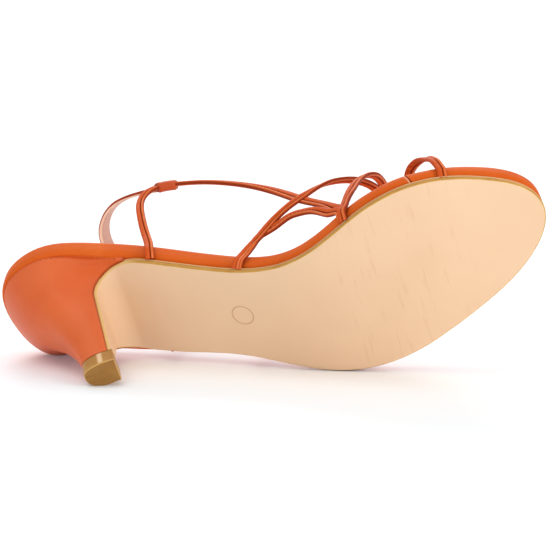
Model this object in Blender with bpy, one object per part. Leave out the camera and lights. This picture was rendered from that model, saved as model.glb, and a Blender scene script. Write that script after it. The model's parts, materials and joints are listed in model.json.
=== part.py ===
# Strappy heeled sandal for the left foot, lying on its outer side.
# The shoe is drawn standing: X to the inner side, Y from heel to toe, Z up.
# One empty then lays all its pieces down as they rest on a floor.
import math

import bmesh
import bpy
import numpy as np
from mathutils import Matrix, Vector

# Driving dimensions in metres
foot_length = 0.236
heel_end = 0.0012
ball_width = 0.075
heel_rise = 0.0673
insole_thickness = 0.0098
rim_under_radius = 0.0036
rim_top_radius = 0.0028
rim_overhang = 0.0006
seat_tuck = 0.33
cover_inset = 0.0008
outsole_thickness = 0.0029
outsole_margin = 0.0004
flap_thickness = 0.0016
breast_place = 0.044
breast_fillet = 0.008
flap_start = 0.060
cover_recess = 0.0013
cover_lap = 0.0005
tip_height = 0.0080
tip_back = 0.0304
tip_front = 0.0448
tip_inner_half = 0.0048
tip_outer_half = 0.0074
tip_edge_radius = 0.0006
strap_width = 0.0042
strap_thickness = 0.0018
strap_rise = 0.060
ankle_reach = 0.0385
sling_width = 0.0072
sling_thickness = 0.0014
sling_lean = math.radians(25)
keeper_length = 0.0088
keeper_wall = 0.0006
tuck_rise = 0.0015
tuck_margin = 0.0001
rim_clearance = 0.00036
piece_gap = 0.0003

# How finely curved forms are faceted
outline_points = 72
strap_step = 0.0042
heel_rings = 12
heel_points = 30
tip_squareness = 2.6
cover_turn = 0.4

# Half widths along the foot, as shares of the ball width
outline_rows = [
    {"along": 0.05, "inner": 0.300, "outer": 0.328},
    {"along": 0.12, "inner": 0.356, "outer": 0.340},
    {"along": 0.20, "inner": 0.317, "outer": 0.333},
    {"along": 0.30, "inner": 0.273, "outer": 0.350},
    {"along": 0.42, "inner": 0.198, "outer": 0.406},
    {"along": 0.55, "inner": 0.243, "outer": 0.535},
    {"along": 0.68, "inner": 0.462, "outer": 0.550},
    {"along": 0.80, "inner": 0.531, "outer": 0.433},
    {"along": 0.90, "inner": 0.435, "outer": 0.290},
    {"along": 0.96, "inner": 0.327, "outer": 0.144},
]
heel_end_across = 0.033
toe_end_across = 0.110

# Height of the sole's upper face along the foot, as shares of the heel rise
profile_rows = [
    {"along": 0.00, "height": 1.000},
    {"along": 0.10, "height": 0.908},
    {"along": 0.20, "height": 0.796},
    {"along": 0.30, "height": 0.608},
    {"along": 0.40, "height": 0.425},
    {"along": 0.50, "height": 0.232},
    {"along": 0.60, "height": 0.099},
    {"along": 0.68, "height": 0.055},
    {"along": 0.76, "height": 0.041},
    {"along": 0.88, "height": 0.0575},
    {"along": 1.00, "height": 0.0635},
]

# Thickness of the insole along the foot, as a share of its thickness at the heel
insole_rows = [
    {"along": 0.00, "thick": 1.00},
    {"along": 0.40, "thick": 1.00},
    {"along": 0.52, "thick": 0.90},
    {"along": 0.64, "thick": 0.83},
    {"along": 0.82, "thick": 0.80},
    {"along": 0.93, "thick": 0.93},
    {"along": 1.00, "thick": 1.00},
]

# Half widths of the breast flap from the tip up, as shares of the sole's half widths where it starts
flap_rows = [
    {"up": 0.00, "inner": 0.185, "outer": 0.222},
    {"up": 0.25, "inner": 0.345, "outer": 0.330},
    {"up": 0.42, "inner": 0.460, "outer": 0.440},
    {"up": 0.59, "inner": 0.560, "outer": 0.545},
    {"up": 0.70, "inner": 0.627, "outer": 0.620},
    {"up": 0.81, "inner": 0.735, "outer": 0.735},
    {"up": 0.91, "inner": 0.860, "outer": 0.860},
    {"up": 1.00, "inner": 1.000, "outer": 1.000},
]

# Flare of the heel from the tip up to the seat, 0 at the tip and 1 at the seat
flare_rows = [
    {"up": 0.00, "back": 0.00, "inner": 0.00, "outer": 0.00},
    {"up": 0.10, "back": 0.05, "inner": 0.05, "outer": 0.05},
    {"up": 0.26, "back": 0.15, "inner": 0.15, "outer": 0.14},
    {"up": 0.37, "back": 0.25, "inner": 0.25, "outer": 0.20},
    {"up": 0.47, "back": 0.36, "inner": 0.36, "outer": 0.27},
    {"up": 0.57, "back": 0.50, "inner": 0.50, "outer": 0.35},
    {"up": 0.71, "back": 0.71, "inner": 0.70, "outer": 0.50},
    {"up": 0.86, "back": 0.88, "inner": 0.88, "outer": 0.74},
    {"up": 1.00, "back": 1.00, "inner": 1.00, "outer": 1.00},
]

# Routes of the straps: along the foot, across as a share of the ball width,
# rise over the sole as a share of the strap rise. Their ends are anchors on the rim.
inner_ankle_route = [
    {"along": 0.302, "across": 0.290, "rise": 0.352},
    {"along": 0.302, "across": 0.300, "rise": 0.612},
    {"along": 0.308, "across": 0.295, "rise": 0.804},
    {"along": 0.326, "across": 0.283, "rise": 0.962},
    {"along": 0.350, "across": 0.265, "rise": 1.059},
    {"along": 0.381, "across": 0.253, "rise": 1.106},
    {"along": 0.423, "across": 0.247, "rise": 1.127},
    {"along": 0.477, "across": 0.247, "rise": 1.096},
    {"along": 0.532, "across": 0.250, "rise": 0.990},
    {"along": 0.571, "across": 0.265, "rise": 0.823},
    {"along": 0.600, "across": 0.300, "rise": 0.630},
    {"along": 0.635, "across": 0.358, "rise": 0.383},
    {"along": 0.651, "across": 0.414, "rise": 0.197},
]
outer_ankle_route = [
    {"along": 0.284, "across": -0.392, "rise": 0.285},
    {"along": 0.283, "across": -0.410, "rise": 0.485},
    {"along": 0.292, "across": -0.402, "rise": 0.704},
    {"along": 0.320, "across": -0.378, "rise": 0.862},
    {"along": 0.350, "across": -0.363, "rise": 0.941},
    {"along": 0.385, "across": -0.355, "rise": 0.982},
    {"along": 0.430, "across": -0.362, "rise": 0.985},
    {"along": 0.480, "across": -0.395, "rise": 0.903},
    {"along": 0.520, "across": -0.450, "rise": 0.737},
    {"along": 0.552, "across": -0.515, "rise": 0.533},
    {"along": 0.570, "across": -0.568, "rise": 0.321},
]
instep_route = [
    {"along": 0.491, "across": 0.236, "rise": 0.275},
    {"along": 0.537, "across": 0.258, "rise": 0.508},
    {"along": 0.573, "across": 0.280, "rise": 0.639},
    {"along": 0.603, "across": 0.276, "rise": 0.749},
    {"along": 0.634, "across": 0.258, "rise": 0.860},
    {"along": 0.661, "across": 0.240, "rise": 0.916},
    {"along": 0.687, "across": 0.222, "rise": 0.923},
    {"along": 0.711, "across": 0.180, "rise": 0.930},
    {"along": 0.732, "across": 0.110, "rise": 0.920},
    {"along": 0.736, "across": -0.020, "rise": 0.903},
    {"along": 0.720, "across": -0.200, "rise": 0.824},
    {"along": 0.680, "across": -0.380, "rise": 0.604},
    {"along": 0.630, "across": -0.510, "rise": 0.365},
    {"along": 0.590, "across": -0.576, "rise": 0.199},
]
ball_route = [
    {"along": 0.667, "across": 0.448, "rise": 0.160},
    {"along": 0.682, "across": 0.425, "rise": 0.340},
    {"along": 0.702, "across": 0.372, "rise": 0.564},
    {"along": 0.7225, "across": 0.307, "rise": 0.736},
    {"along": 0.738, "across": 0.235, "rise": 0.826},
    {"along": 0.745, "across": 0.140, "rise": 0.906},
    {"along": 0.749, "across": 0.000, "rise": 0.940},
    {"along": 0.741, "across": -0.180, "rise": 0.883},
    {"along": 0.706, "across": -0.370, "rise": 0.694},
    {"along": 0.655, "across": -0.520, "rise": 0.424},
    {"along": 0.612, "across": -0.578, "rise": 0.197},
]
inner_arch_route = [
    {"along": 0.484, "across": 0.230, "rise": 0.221},
    {"along": 0.505, "across": 0.232, "rise": 0.361},
    {"along": 0.528, "across": 0.247, "rise": 0.427},
    {"along": 0.553, "across": 0.280, "rise": 0.443},
    {"along": 0.580, "across": 0.315, "rise": 0.433},
    {"along": 0.607, "across": 0.358, "rise": 0.350},
    {"along": 0.632, "across": 0.398, "rise": 0.218},
]
outer_arch_route = [
    {"along": 0.440, "across": -0.445, "rise": 0.245},
    {"along": 0.462, "across": -0.462, "rise": 0.384},
    {"along": 0.495, "across": -0.482, "rise": 0.451},
    {"along": 0.528, "across": -0.512, "rise": 0.376},
    {"along": 0.552, "across": -0.552, "rise": 0.233},
]
toe_loop_route = [
    {"along": 0.841, "across": 0.530, "rise": 0.160},
    {"along": 0.837, "across": 0.505, "rise": 0.258},
    {"along": 0.8305, "across": 0.445, "rise": 0.410},
    {"along": 0.814, "across": 0.385, "rise": 0.531},
    {"along": 0.798, "across": 0.330, "rise": 0.562},
    {"along": 0.789, "across": 0.270, "rise": 0.535},
    {"along": 0.787, "across": 0.225, "rise": 0.443},
    {"along": 0.790, "across": 0.200, "rise": 0.283},
    {"along": 0.792, "across": 0.190, "rise": 0.173},
]
# Where straps are tucked under the rim: along the foot, side, and lean along the foot as a slope
anchors = {
    "inner_ankle": {"along": 0.300, "side": 1, "lean": 0.10},
    "inner_waist": {"along": 0.440, "side": 1, "lean": 1.00},
    "inner_arch": {"along": 0.4445, "side": 1, "lean": 1.00},
    "inner_ball_back": {"along": 0.657, "side": 1, "lean": 0.20},
    "inner_ball_arch": {"along": 0.654, "side": 1, "lean": 0.15},
    "inner_ball": {"along": 0.656, "side": 1, "lean": 0.40},
    "toe": {"along": 0.8437, "side": 1, "lean": -0.05},
    "outer_ankle": {"along": 0.286, "side": -1, "lean": -0.05},
    "outer_arch": {"along": 0.430, "side": -1, "lean": 0.55},
    "outer_ball_back": {"along": 0.577, "side": -1, "lean": -0.20},
    "outer_ball_arch": {"along": 0.569, "side": -1, "lean": -0.35},
    "outer_ball": {"along": 0.594, "side": -1, "lean": 0.30},
    "outer_instep": {"along": 0.581, "side": -1, "lean": 0.20},
}
# The slingback seen from above, as shares of the ankle reach behind the keepers and of the ball width
sling_route = [
    {"behind": -0.06, "across": 0.198, "rise": 1.081},
    {"behind": 0.14, "across": 0.224, "rise": 1.091},
    {"behind": 0.33, "across": 0.256, "rise": 1.111},
    {"behind": 0.50, "across": 0.238, "rise": 1.146},
    {"behind": 0.71, "across": 0.165, "rise": 1.196},
    {"behind": 0.88, "across": 0.065, "rise": 1.231},
    {"behind": 0.92, "across": -0.060, "rise": 1.246},
    {"behind": 0.84, "across": -0.185, "rise": 1.211},
    {"behind": 0.66, "across": -0.265, "rise": 1.141},
    {"behind": 0.42, "across": -0.312, "rise": 1.051},
    {"behind": 0.16, "across": -0.324, "rise": 0.981},
    {"behind": -0.06, "across": -0.312, "rise": 0.951},
]
keeper_along = 0.360

# Middle of the toe loop, across as a share of the ball width and up as a share of the strap rise
toe_core_across = 0.37
toe_core_rise = 0.20

# Height over the footbed of the line that the straps wrap around
core_rows = [
    {"along": 0.20, "lift": 0.80},
    {"along": 0.30, "lift": 0.72},
    {"along": 0.42, "lift": 0.72},
    {"along": 0.52, "lift": 0.64},
    {"along": 0.57, "lift": 0.60},
    {"along": 0.62, "lift": 0.45},
    {"along": 0.70, "lift": 0.24},
    {"along": 0.75, "lift": 0.20},
    {"along": 1.00, "lift": 0.15},
]

# Colour, roughness and metallic value of each material
finishes = {
    "orange_leather": ((0.73, 0.16, 0.045, 1), 0.38, 0.0),
    "nude_sole": ((0.72, 0.48, 0.30, 1), 0.5, 0.0),
    "tan_rubber": ((0.45, 0.24, 0.075, 1), 0.35, 0.0),
}


def clear_scene():
    for item in list(bpy.data.objects):
        bpy.data.objects.remove(item, do_unlink=True)


def smooth_curve(knots, values, period=None):
    """Cubic curve through the values, natural at its ends or closed over a period."""
    x = np.array(knots, float)
    y = np.array(values, float)
    if period:
        x = np.append(x, x[0] + period)
        y = np.concatenate([y, y[:1]])
    count = len(x)
    h = np.diff(x)
    step = h.reshape(-1, *[1] * (y.ndim - 1))
    slope = np.diff(y, axis=0) / step
    system = np.zeros((count, count))
    right = np.zeros(y.shape)
    for i in range(1, count - 1):
        system[i, i - 1:i + 2] = h[i - 1], 2 * (h[i - 1] + h[i]), h[i]
        right[i] = 6 * (slope[i] - slope[i - 1])
    system[0, 0] = 1
    system[-1, -1] = 1
    if period:
        system[0, -1] = -1
        system[-1] = 0
        system[-1, [0, 1, -2, -1]] = 2 * h[0], h[0], h[-1], 2 * h[-1]
        right[-1] = 6 * (slope[0] - slope[-1])
    bend = np.linalg.solve(system, right)

    def value(t):
        if period:
            t = x[0] + (t - x[0]) % period
        i = int(np.clip(np.searchsorted(x, t, "right") - 1, 0, count - 2))
        u = t - x[i]
        first = slope[i] - h[i] * (2 * bend[i] + bend[i + 1]) / 6
        return y[i] + u * (first + u * (bend[i] / 2 + u * (bend[i + 1] - bend[i]) / (6 * h[i])))

    return value


def column(rows, name):
    return [row[name] for row in rows]


def table(rows, key, name):
    """Straight interpolation in a short table."""
    return lambda t: float(np.interp(t, column(rows, key), column(rows, name)))


def ease(t):
    t = min(max(t, 0.0), 1.0)
    return t * t * (3 - 2 * t)


def build_outline():
    """Distance across the sole against an angle that runs round it from the heel end, inner side first."""
    turns = [math.acos(1 - 2 * row["along"]) for row in outline_rows]
    inner = [row["inner"] * ball_width for row in outline_rows]
    outer = [-row["outer"] * ball_width for row in outline_rows]
    knots = [0.0] + turns + [math.pi] + [2 * math.pi - turn for turn in reversed(turns)]
    across = [heel_end_across * ball_width] + inner + [toe_end_across * ball_width] + outer[::-1]
    return smooth_curve(knots, across, 2 * math.pi)


outline = build_outline()
profile = smooth_curve(column(profile_rows, "along"), column(profile_rows, "height"))
core_lift = table(core_rows, "along", "lift")
insole_share = table(insole_rows, "along", "thick")


def bed(y):
    """Height of the sole's upper face, with the tread flat where it would dip under the floor."""
    share = min(max(y / foot_length, -0.02), 1.02)
    return max(heel_rise * float(profile(share)), outsole_thickness)


def bed_slope(y):
    reach = 0.0005
    return (bed(y + reach) - bed(y - reach)) / (2 * reach)


def lifted(x, y, offset):
    """A point over the sole's upper face, by an offset square to it."""
    slope = bed_slope(y)
    length = math.hypot(1, slope)
    return Vector((x, y - offset * slope / length, bed(y) + offset / length))


def insole_at(y):
    return insole_thickness * insole_share(y / foot_length)


def footbed(y):
    """Height of the insole's upper face."""
    return bed(y) + (piece_gap + insole_at(y)) * math.hypot(1, bed_slope(y))


def outline_point(turn):
    return float(outline(turn)), heel_end + (foot_length - heel_end) * (1 - math.cos(turn)) / 2


def edge_point(turn, inset):
    """A point of the outline moved square to it by an inset."""
    reach = 0.01
    ahead = outline_point(turn + reach)
    behind = outline_point(turn - reach)
    dx = ahead[0] - behind[0]
    dy = ahead[1] - behind[1]
    length = math.hypot(dx, dy)
    x, y = outline_point(turn)
    return x - inset * dy / length, y + inset * dx / length


def turn_at(y, side):
    share = min(max((y - heel_end) / (foot_length - heel_end), 0.0), 1.0)
    turn = math.acos(1 - 2 * share)
    return turn if side > 0 else 2 * math.pi - turn


def half_width(y, side):
    return abs(outline_point(turn_at(y, side))[0])


def new_object(name, points, faces, finish, guide=False):
    mesh = bpy.data.meshes.new(name)
    work = bmesh.new()
    corners = [work.verts.new(point) for point in points]
    for face in faces:
        work.faces.new([corners[i] for i in face])
    bmesh.ops.remove_doubles(work, verts=work.verts[:], dist=1e-7)
    bmesh.ops.triangulate(work, faces=work.faces[:])
    bmesh.ops.recalc_face_normals(work, faces=work.faces[:])
    work.to_mesh(mesh)
    work.free()
    mesh.shade_smooth()
    mesh.set_sharp_from_angle(angle=math.radians(40))
    item = bpy.data.objects.new(name, mesh)
    bpy.context.scene.collection.objects.link(item)
    if guide:
        item.hide_render = True
        item.display_type = "WIRE"
    else:
        mesh.materials.append(new_material(name, finish))
    return item


def new_material(name, finish):
    colour, roughness, metallic = finishes[finish]
    material = bpy.data.materials.new(name)
    material.use_nodes = True
    shader = material.node_tree.nodes["Principled BSDF"]
    shader.inputs["Base Color"].default_value = colour
    shader.inputs["Roughness"].default_value = roughness
    shader.inputs["Metallic"].default_value = metallic
    return material


def skin(name, rings, finish, guide=False):
    """A closed solid over rings of equal length, capped at both ends."""
    count = len(rings[0])
    points = [point for ring in rings for point in ring]
    faces = []
    for row in range(len(rings) - 1):
        for i in range(count):
            j = (i + 1) % count
            faces.append((row * count + i, row * count + j, (row + 1) * count + j, (row + 1) * count + i))
    faces.append(tuple(range(count)))
    faces.append(tuple((len(rings) - 1) * count + i for i in reversed(range(count))))
    return new_object(name, points, faces, finish, guide)


def plate(name, rings, finish):
    """A closed solid over outline rings, its two faces laddered from the inner to the outer side."""
    count = len(rings[0])
    points = [point for ring in rings for point in ring]
    faces = []
    for row in range(len(rings) - 1):
        for i in range(count):
            j = (i + 1) % count
            faces.append((row * count + i, row * count + j, (row + 1) * count + j, (row + 1) * count + i))
    for base in (0, (len(rings) - 1) * count):
        for i in range(count // 2):
            rung = [i, i + 1, (count - i - 1) % count, (count - i) % count]
            corners = [base + k for k in dict.fromkeys(rung)]
            faces.append(tuple(corners if base else corners[::-1]))
    return new_object(name, points, faces, finish)


def cut(item, tool, name, operation="DIFFERENCE"):
    change = item.modifiers.new(name, "BOOLEAN")
    change.operation = operation
    change.solver = "EXACT"
    change.object = tool


def tuck(y):
    """Share of the rim's under radius: a part on the heel seat, all of it in front of the breast."""
    return seat_tuck + (1 - seat_tuck) * ease((y - breast_place) / (flap_start - breast_place))


# Insole: a thick platform wrapped in leather, with rounded edges
def build_insole():
    corners = [math.radians(angle) for angle in (0, 30, 60, 90)]
    levels = [(rim_under_radius * (1 - math.cos(a)), rim_under_radius * (1 - math.sin(a)), True) for a in corners]
    levels += [(rim_top_radius * (math.sin(a) - 1), rim_top_radius * (1 - math.cos(a)), False) for a in corners]
    rings = []
    for level, inset, under in levels:
        ring = []
        for i in range(outline_points):
            turn = 2 * math.pi * i / outline_points
            place = outline_point(turn)[1]
            pull = inset * tuck(place) if under else inset
            height = level if under else insole_at(place) + level
            ring.append(lifted(*edge_point(turn, pull - rim_overhang), piece_gap + height))
        rings.append(ring)
    return plate("insole", rings, "orange_leather")


# Sole path: its visible face from where the flap starts, over the fillet and down the breast
def breast_path():
    """Rows of place, inward direction and thickness, from the tip up to where the flap starts."""
    starts = np.linspace(flap_start, breast_place, 200)
    for y in starts:
        under = lifted(0, y, -outsole_thickness)
        slope = bed_slope(y)
        length = math.hypot(1, slope)
        centre_y = under.y + breast_fillet * slope / length
        centre_z = under.z - breast_fillet / length
        if centre_y <= breast_place + breast_fillet:
            break
    first = math.atan2(1 / length, -slope / length)
    rows = []
    foot = tip_height + piece_gap
    for share in np.linspace(0, 1, 6)[:-1]:
        rows.append((breast_place, foot + (centre_z - foot) * share, (-1.0, 0.0), flap_thickness))
    for share in np.linspace(0, 1, 9):
        angle = math.pi + (first - math.pi) * share
        place = (centre_y + breast_fillet * math.cos(angle), centre_z + breast_fillet * math.sin(angle))
        thickness = flap_thickness + (outsole_thickness - flap_thickness) * ease(share)
        rows.append((*place, (math.cos(angle), math.sin(angle)), thickness))
    for share in (0.5, 1.0):
        here = y + (flap_start - y) * share
        under = lifted(0, here, -outsole_thickness)
        slope = bed_slope(here)
        length = math.hypot(1, slope)
        rows.append((under.y, under.z, (-slope / length, 1 / length), outsole_thickness))
    return rows


path_rows = breast_path()
path_steps = [math.dist(a[:2], b[:2]) for a, b in zip(path_rows, path_rows[1:])]
path_shares = np.concatenate([[0], np.cumsum(path_steps)]) / sum(path_steps)


def on_path(share, recess):
    """A point behind the visible face of the flap, at a share of its way up."""
    y = float(np.interp(share, path_shares, [row[0] for row in path_rows]))
    z = float(np.interp(share, path_shares, [row[1] for row in path_rows]))
    across = float(np.interp(share, path_shares, [row[2][0] for row in path_rows]))
    upward = float(np.interp(share, path_shares, [row[2][1] for row in path_rows]))
    return y + recess * across, z + recess * upward


def flap_half(share, side):
    name = "inner" if side > 0 else "outer"
    part = smooth_curve(column(flap_rows, "up"), column(flap_rows, name))(share)
    return float(part) * (half_width(flap_start, side) + outsole_margin)


# Outsole: a thin sheet under the insole that turns down over the heel breast as a flap
def sole_rings(extra, ahead):
    """Four corners a row from the toe to the tip, grown by an extra and drawn ahead of the visible face."""
    rings = []
    first = turn_at(flap_start, 1)
    rows = 34
    for i in range(rows):
        turn = math.pi + (first - math.pi) * i / rows
        inner = edge_point(turn, -outsole_margin - extra)
        outer = edge_point(2 * math.pi - turn, -outsole_margin - extra)
        under = -outsole_thickness - ahead
        rings.append([lifted(*inner, under), lifted(*inner, extra), lifted(*outer, extra), lifted(*outer, under)])
    for share, (y, z, (ny, nz), thickness) in reversed(list(zip(path_shares, path_rows))):
        inner = flap_half(share, 1) + extra
        outer = -flap_half(share, -1) - extra
        front = (y - ahead * ny, z - ahead * nz)
        back = (y + (thickness + extra) * ny, z + (thickness + extra) * nz)
        rings.append([Vector((inner, *front)), Vector((inner, *back)), Vector((outer, *back)), Vector((outer, *front))])
    return rings


def build_outsole():
    return skin("outsole", sole_rings(0.0, 0.0), "nude_sole")


# Heel: a flared block under the seat, recessed at the breast for the flap
seat_back = heel_end + cover_inset


def heel_ring(up, front_y, front_z, back_y, back_z, sag):
    """A section between the tip's own outline and the seat's, its front corners on the flap."""
    widths = {side: table(flare_rows, "up", name)(up) for side, name in ((1, "inner"), (-1, "outer"))}
    ring = []
    last = turn_at(flap_start, 1)
    for i in range(heel_points + 1):
        seat_x, seat_y = edge_point(last - 2 * last * i / heel_points, cover_inset)
        side = 1 if seat_x > 0 else -1
        share = min(max((seat_y - seat_back) / (flap_start - seat_back), 0.0), 1.0)
        tip_half = tip_inner_half if side > 0 else tip_outer_half
        tip_x = side * tip_half * (1 - (1 - share) ** tip_squareness) ** (1 / tip_squareness)
        corner_x = side * (flap_half(up, side) + cover_lap)
        x = tip_x + (seat_x - tip_x) * widths[side]
        x += (corner_x - x) * ease((share - cover_turn) / (1 - cover_turn))
        chord = bed(seat_back) + (bed(flap_start) - bed(seat_back)) * share
        y = back_y + (front_y - back_y) * share
        z = back_z + (front_z - back_z) * share + (bed(seat_y) - chord) * sag
        ring.append(Vector((x, y, z)))
    return ring


def build_heel():
    foot = tip_height + piece_gap
    seat = bed(seat_back) - cover_recess
    flare = smooth_curve(column(flare_rows, "up"), column(flare_rows, "back"))
    rings = []
    for i in range(heel_rings + 1):
        up = i / heel_rings
        front_y, front_z = on_path(up, cover_recess)
        back_y = tip_back + (seat_back - tip_back) * float(flare(up))
        back_z = foot + (seat - foot) * up
        rings.append(heel_ring(up, front_y, front_z, back_y, back_z, up * up))
    rings.append(heel_ring(1.0, flap_start, bed(flap_start), seat_back, bed(seat_back), 1.0))
    heel = skin("heel_block", rings, "orange_leather")
    pocket = skin("flap_pocket", sole_rings(piece_gap, 0.003), None, guide=True)
    cut(heel, pocket, "flap pocket")
    return heel, pocket


# Heel tip: a rubber top piece under the heel
def build_tip():
    outer = heel_ring(0.0, tip_front, tip_height, tip_back, tip_height, 0.0)
    middle = Vector((sum(point.x for point in outer) / len(outer), (tip_back + tip_front) / 2, 0))
    rings = []
    for height, inset in ((tip_height, 0.0), (tip_edge_radius, 0.0), (0.0, tip_edge_radius)):
        ring = []
        for point in outer:
            flat = Vector((point.x, point.y, 0)) - middle
            flat *= 1 - inset / flat.length
            ring.append(Vector((middle.x + flat.x, middle.y + flat.y, height)))
        rings.append(ring)
    return skin("heel_tip", rings, "tan_rubber")


# Straps: folded leather bands over a foot form, their ends tucked between rim and outsole
def anchor_point(anchor, level, outward):
    y = anchor["along"] * foot_length + anchor["lean"] * level
    slope = bed_slope(y)
    base = y + level * slope / math.hypot(1, slope)
    return lifted(*edge_point(turn_at(base, anchor["side"]), -outward - rim_overhang), level)


def rim_anchor(anchor):
    """Three points from the tucked end up to the rim's side, leaning along the foot."""
    clear = strap_thickness / 2 + piece_gap
    slope = bed_slope(anchor["along"] * foot_length)
    rise = anchor_point(anchor, rim_under_radius, 0) - anchor_point(anchor, 0, 0)
    leaning = rise.normalized().cross(Vector((0, -slope, 1)).normalized()).length
    flaring = clear / math.hypot(clear, tuck_rise)
    low = piece_gap + tuck_margin + (strap_width * leaning + strap_thickness * flaring) / 2
    levels = ((low, 0.0), (low + tuck_rise, clear), (low + 2 * tuck_rise, clear))
    return [anchor_point(anchor, level, outward) for level, outward in levels]


def rim_inset(level, y):
    """How far the rim's side lies inside the outline at a level over the sole."""
    if level < rim_under_radius:
        deep = rim_under_radius - max(level, 0.0)
        return (rim_under_radius - math.sqrt(rim_under_radius ** 2 - deep ** 2)) * tuck(y)
    deep = level - insole_at(y) + rim_top_radius
    if deep < 0:
        return 0.0
    return rim_top_radius - math.sqrt(max(rim_top_radius ** 2 - deep ** 2, 0.0))


def push_off_rim(place, across, outward):
    """Moves a place of a strap outwards until its inner edges clear the rim."""
    push = 0.0
    for edge in (-1, 0, 1):
        corner = place + across * edge * strap_width / 2 - outward * strap_thickness / 2
        side = 1 if corner.x > 0 else -1
        slope = bed_slope(corner.y)
        length = math.hypot(1, slope)
        level = (corner.z - bed(corner.y)) / length - piece_gap
        if level > insole_at(corner.y) + piece_gap:
            continue
        y = corner.y + level * slope / length
        room = side * corner.x - half_width(y, side) - rim_overhang + rim_inset(level, y)
        push = max(push, rim_clearance - room)
    return place + outward * push


def route_point(row):
    y = row["along"] * foot_length
    return Vector((row["across"] * ball_width, y, bed(y) + row["rise"] * strap_rise))


def route_frames(points, normals_from, lean=0.0, middle_y=None, reach=None, hugs_rim=True):
    """Places with their across and outward directions along a smooth route, or about one place on it."""
    knots = np.concatenate([[0], np.cumsum([(b - a).length for a, b in zip(points, points[1:])])])
    curve = smooth_curve(knots, [tuple(point) for point in points])
    first, last = 0.0, knots[-1]
    if middle_y is not None:
        middle = min(np.linspace(0, knots[-1], 2000), key=lambda at: abs(curve(at)[1] - middle_y))
        first, last = middle - reach, middle + reach
    count = max(int(round((last - first) / strap_step)), 4)
    look = 0.0003
    frames = []
    for here in np.linspace(first, last, count + 1):
        place = Vector(curve(here))
        tangent = (Vector(curve(min(here + look, knots[-1]))) - Vector(curve(max(here - look, 0)))).normalized()
        outward = normals_from(place)
        outward = (outward - tangent * outward.dot(tangent)).normalized()
        turned = Matrix.Rotation(lean * math.sin(math.pi * here / knots[-1]), 3, tangent)
        outward = turned @ outward
        across = tangent.cross(outward)
        if hugs_rim:
            place = push_off_rim(place, across, outward)
        frames.append((place, across, outward))
    return frames


def band_rings(frames, width, thickness):
    """Rings of a band with chamfered edges."""
    chamfer = strap_thickness * 0.3
    half = width / 2
    deep = thickness / 2
    corners = [(half, deep - chamfer), (half - chamfer, deep), (chamfer - half, deep), (-half, deep - chamfer)]
    corners += [(-a, -b) for a, b in corners]
    return [[place + across * a + outward * b for a, b in corners] for place, across, outward in frames]


def off_rim(place, outward):
    """Turns a direction square to the rim where a strap lies against it."""
    side = 1 if place.x > 0 else -1
    turn = turn_at(place.y, side)
    level = (place.z - footbed(place.y)) / strap_rise
    near = edge_point(turn, 0)
    far = edge_point(turn, -1)
    square = Vector((far[0] - near[0], far[1] - near[1], 0))
    share = 1 - ease((level - 0.05) / 0.25)
    return outward.normalized().lerp(square, share)


def from_core(place):
    """Direction out of the foot form at a point."""
    top = footbed(place.y) + core_lift(place.y / foot_length) * strap_rise
    return off_rim(place, Vector((place.x, 0, max(place.z - top, 0))))


def from_toe(place):
    middle = footbed(place.y) + toe_core_rise * strap_rise
    outward = Vector((place.x - toe_core_across * ball_width, 0, max(place.z - middle, 0)))
    return off_rim(place, outward) if outward.x > 0 else outward


def from_ankle(place):
    return Vector((place.x, place.y - keeper_along * foot_length + 0.25 * ankle_reach, 0))


def strap_points(route, first, last):
    middle = [route_point(row) for row in route]
    return rim_anchor(anchors[first]) + middle + rim_anchor(anchors[last])[::-1]


def build_strap(name, route, first, last, guide=True):
    frames = route_frames(strap_points(route, first, last), from_core)
    rings = band_rings(frames, strap_width, strap_thickness)
    return skin(name, rings, None if guide else "orange_leather", guide)


def build_upper():
    upper = build_strap("upper", inner_ankle_route, "inner_ankle", "inner_ball_back", guide=False)
    others = [
        build_strap("outer_ankle_strap", outer_ankle_route, "outer_ankle", "outer_ball_back"),
        build_strap("instep_strap", instep_route, "inner_waist", "outer_instep"),
        build_strap("ball_strap", ball_route, "inner_ball", "outer_ball"),
        build_strap("inner_arch_strap", inner_arch_route, "inner_arch", "inner_ball_arch"),
        build_strap("outer_arch_strap", outer_arch_route, "outer_arch", "outer_ball_arch"),
    ]
    for other in others:
        cut(upper, other, other.name, "UNION")
    return upper, others


def build_toe_loop():
    points = rim_anchor(anchors["toe"]) + [route_point(row) for row in toe_loop_route]
    rings = band_rings(route_frames(points, from_toe, hugs_rim=False), strap_width, strap_thickness)
    return skin("toe_loop", rings, "orange_leather")


# Slingback: a flat band round the back of the ankle, its ends under the keepers
def build_sling():
    points = []
    for row in sling_route:
        y = keeper_along * foot_length - row["behind"] * ankle_reach
        height = bed(keeper_along * foot_length) + row["rise"] * strap_rise
        points.append(Vector((row["across"] * ball_width, y, height)))
    rings = band_rings(route_frames(points, from_ankle, sling_lean, hugs_rim=False), sling_width, sling_thickness)
    return skin("slingback_strap", rings, "orange_leather")


# Keepers: leather tubes that hold the slingback to the ankle straps
def build_keeper(name, route, first, last):
    middle_y = keeper_along * foot_length
    frames = route_frames(strap_points(route, first, last), from_core, 0.0, middle_y, keeper_length / 2)
    bore = band_rings(frames, strap_width + 2 * piece_gap, strap_thickness + 2 * piece_gap)
    wall = 2 * (piece_gap + keeper_wall)
    shell = band_rings(frames, strap_width + wall, strap_thickness + wall)
    rings = shell + bore[::-1]
    count = len(shell[0])
    points = [point for ring in rings for point in ring]
    faces = []
    for row in range(len(rings)):
        for i in range(count):
            j = (i + 1) % count
            after = (row + 1) % len(rings)
            faces.append((row * count + i, row * count + j, after * count + j, after * count + i))
    return new_object(name, points, faces, "orange_leather")


def inside(point, corners, normal):
    """Whether a point lies over a triangle seen along its normal."""
    for a, b in zip(corners, corners[1:] + corners[:1]):
        if (b - a).cross(point - a).dot(normal) < 0:
            return False
    return True


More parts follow.
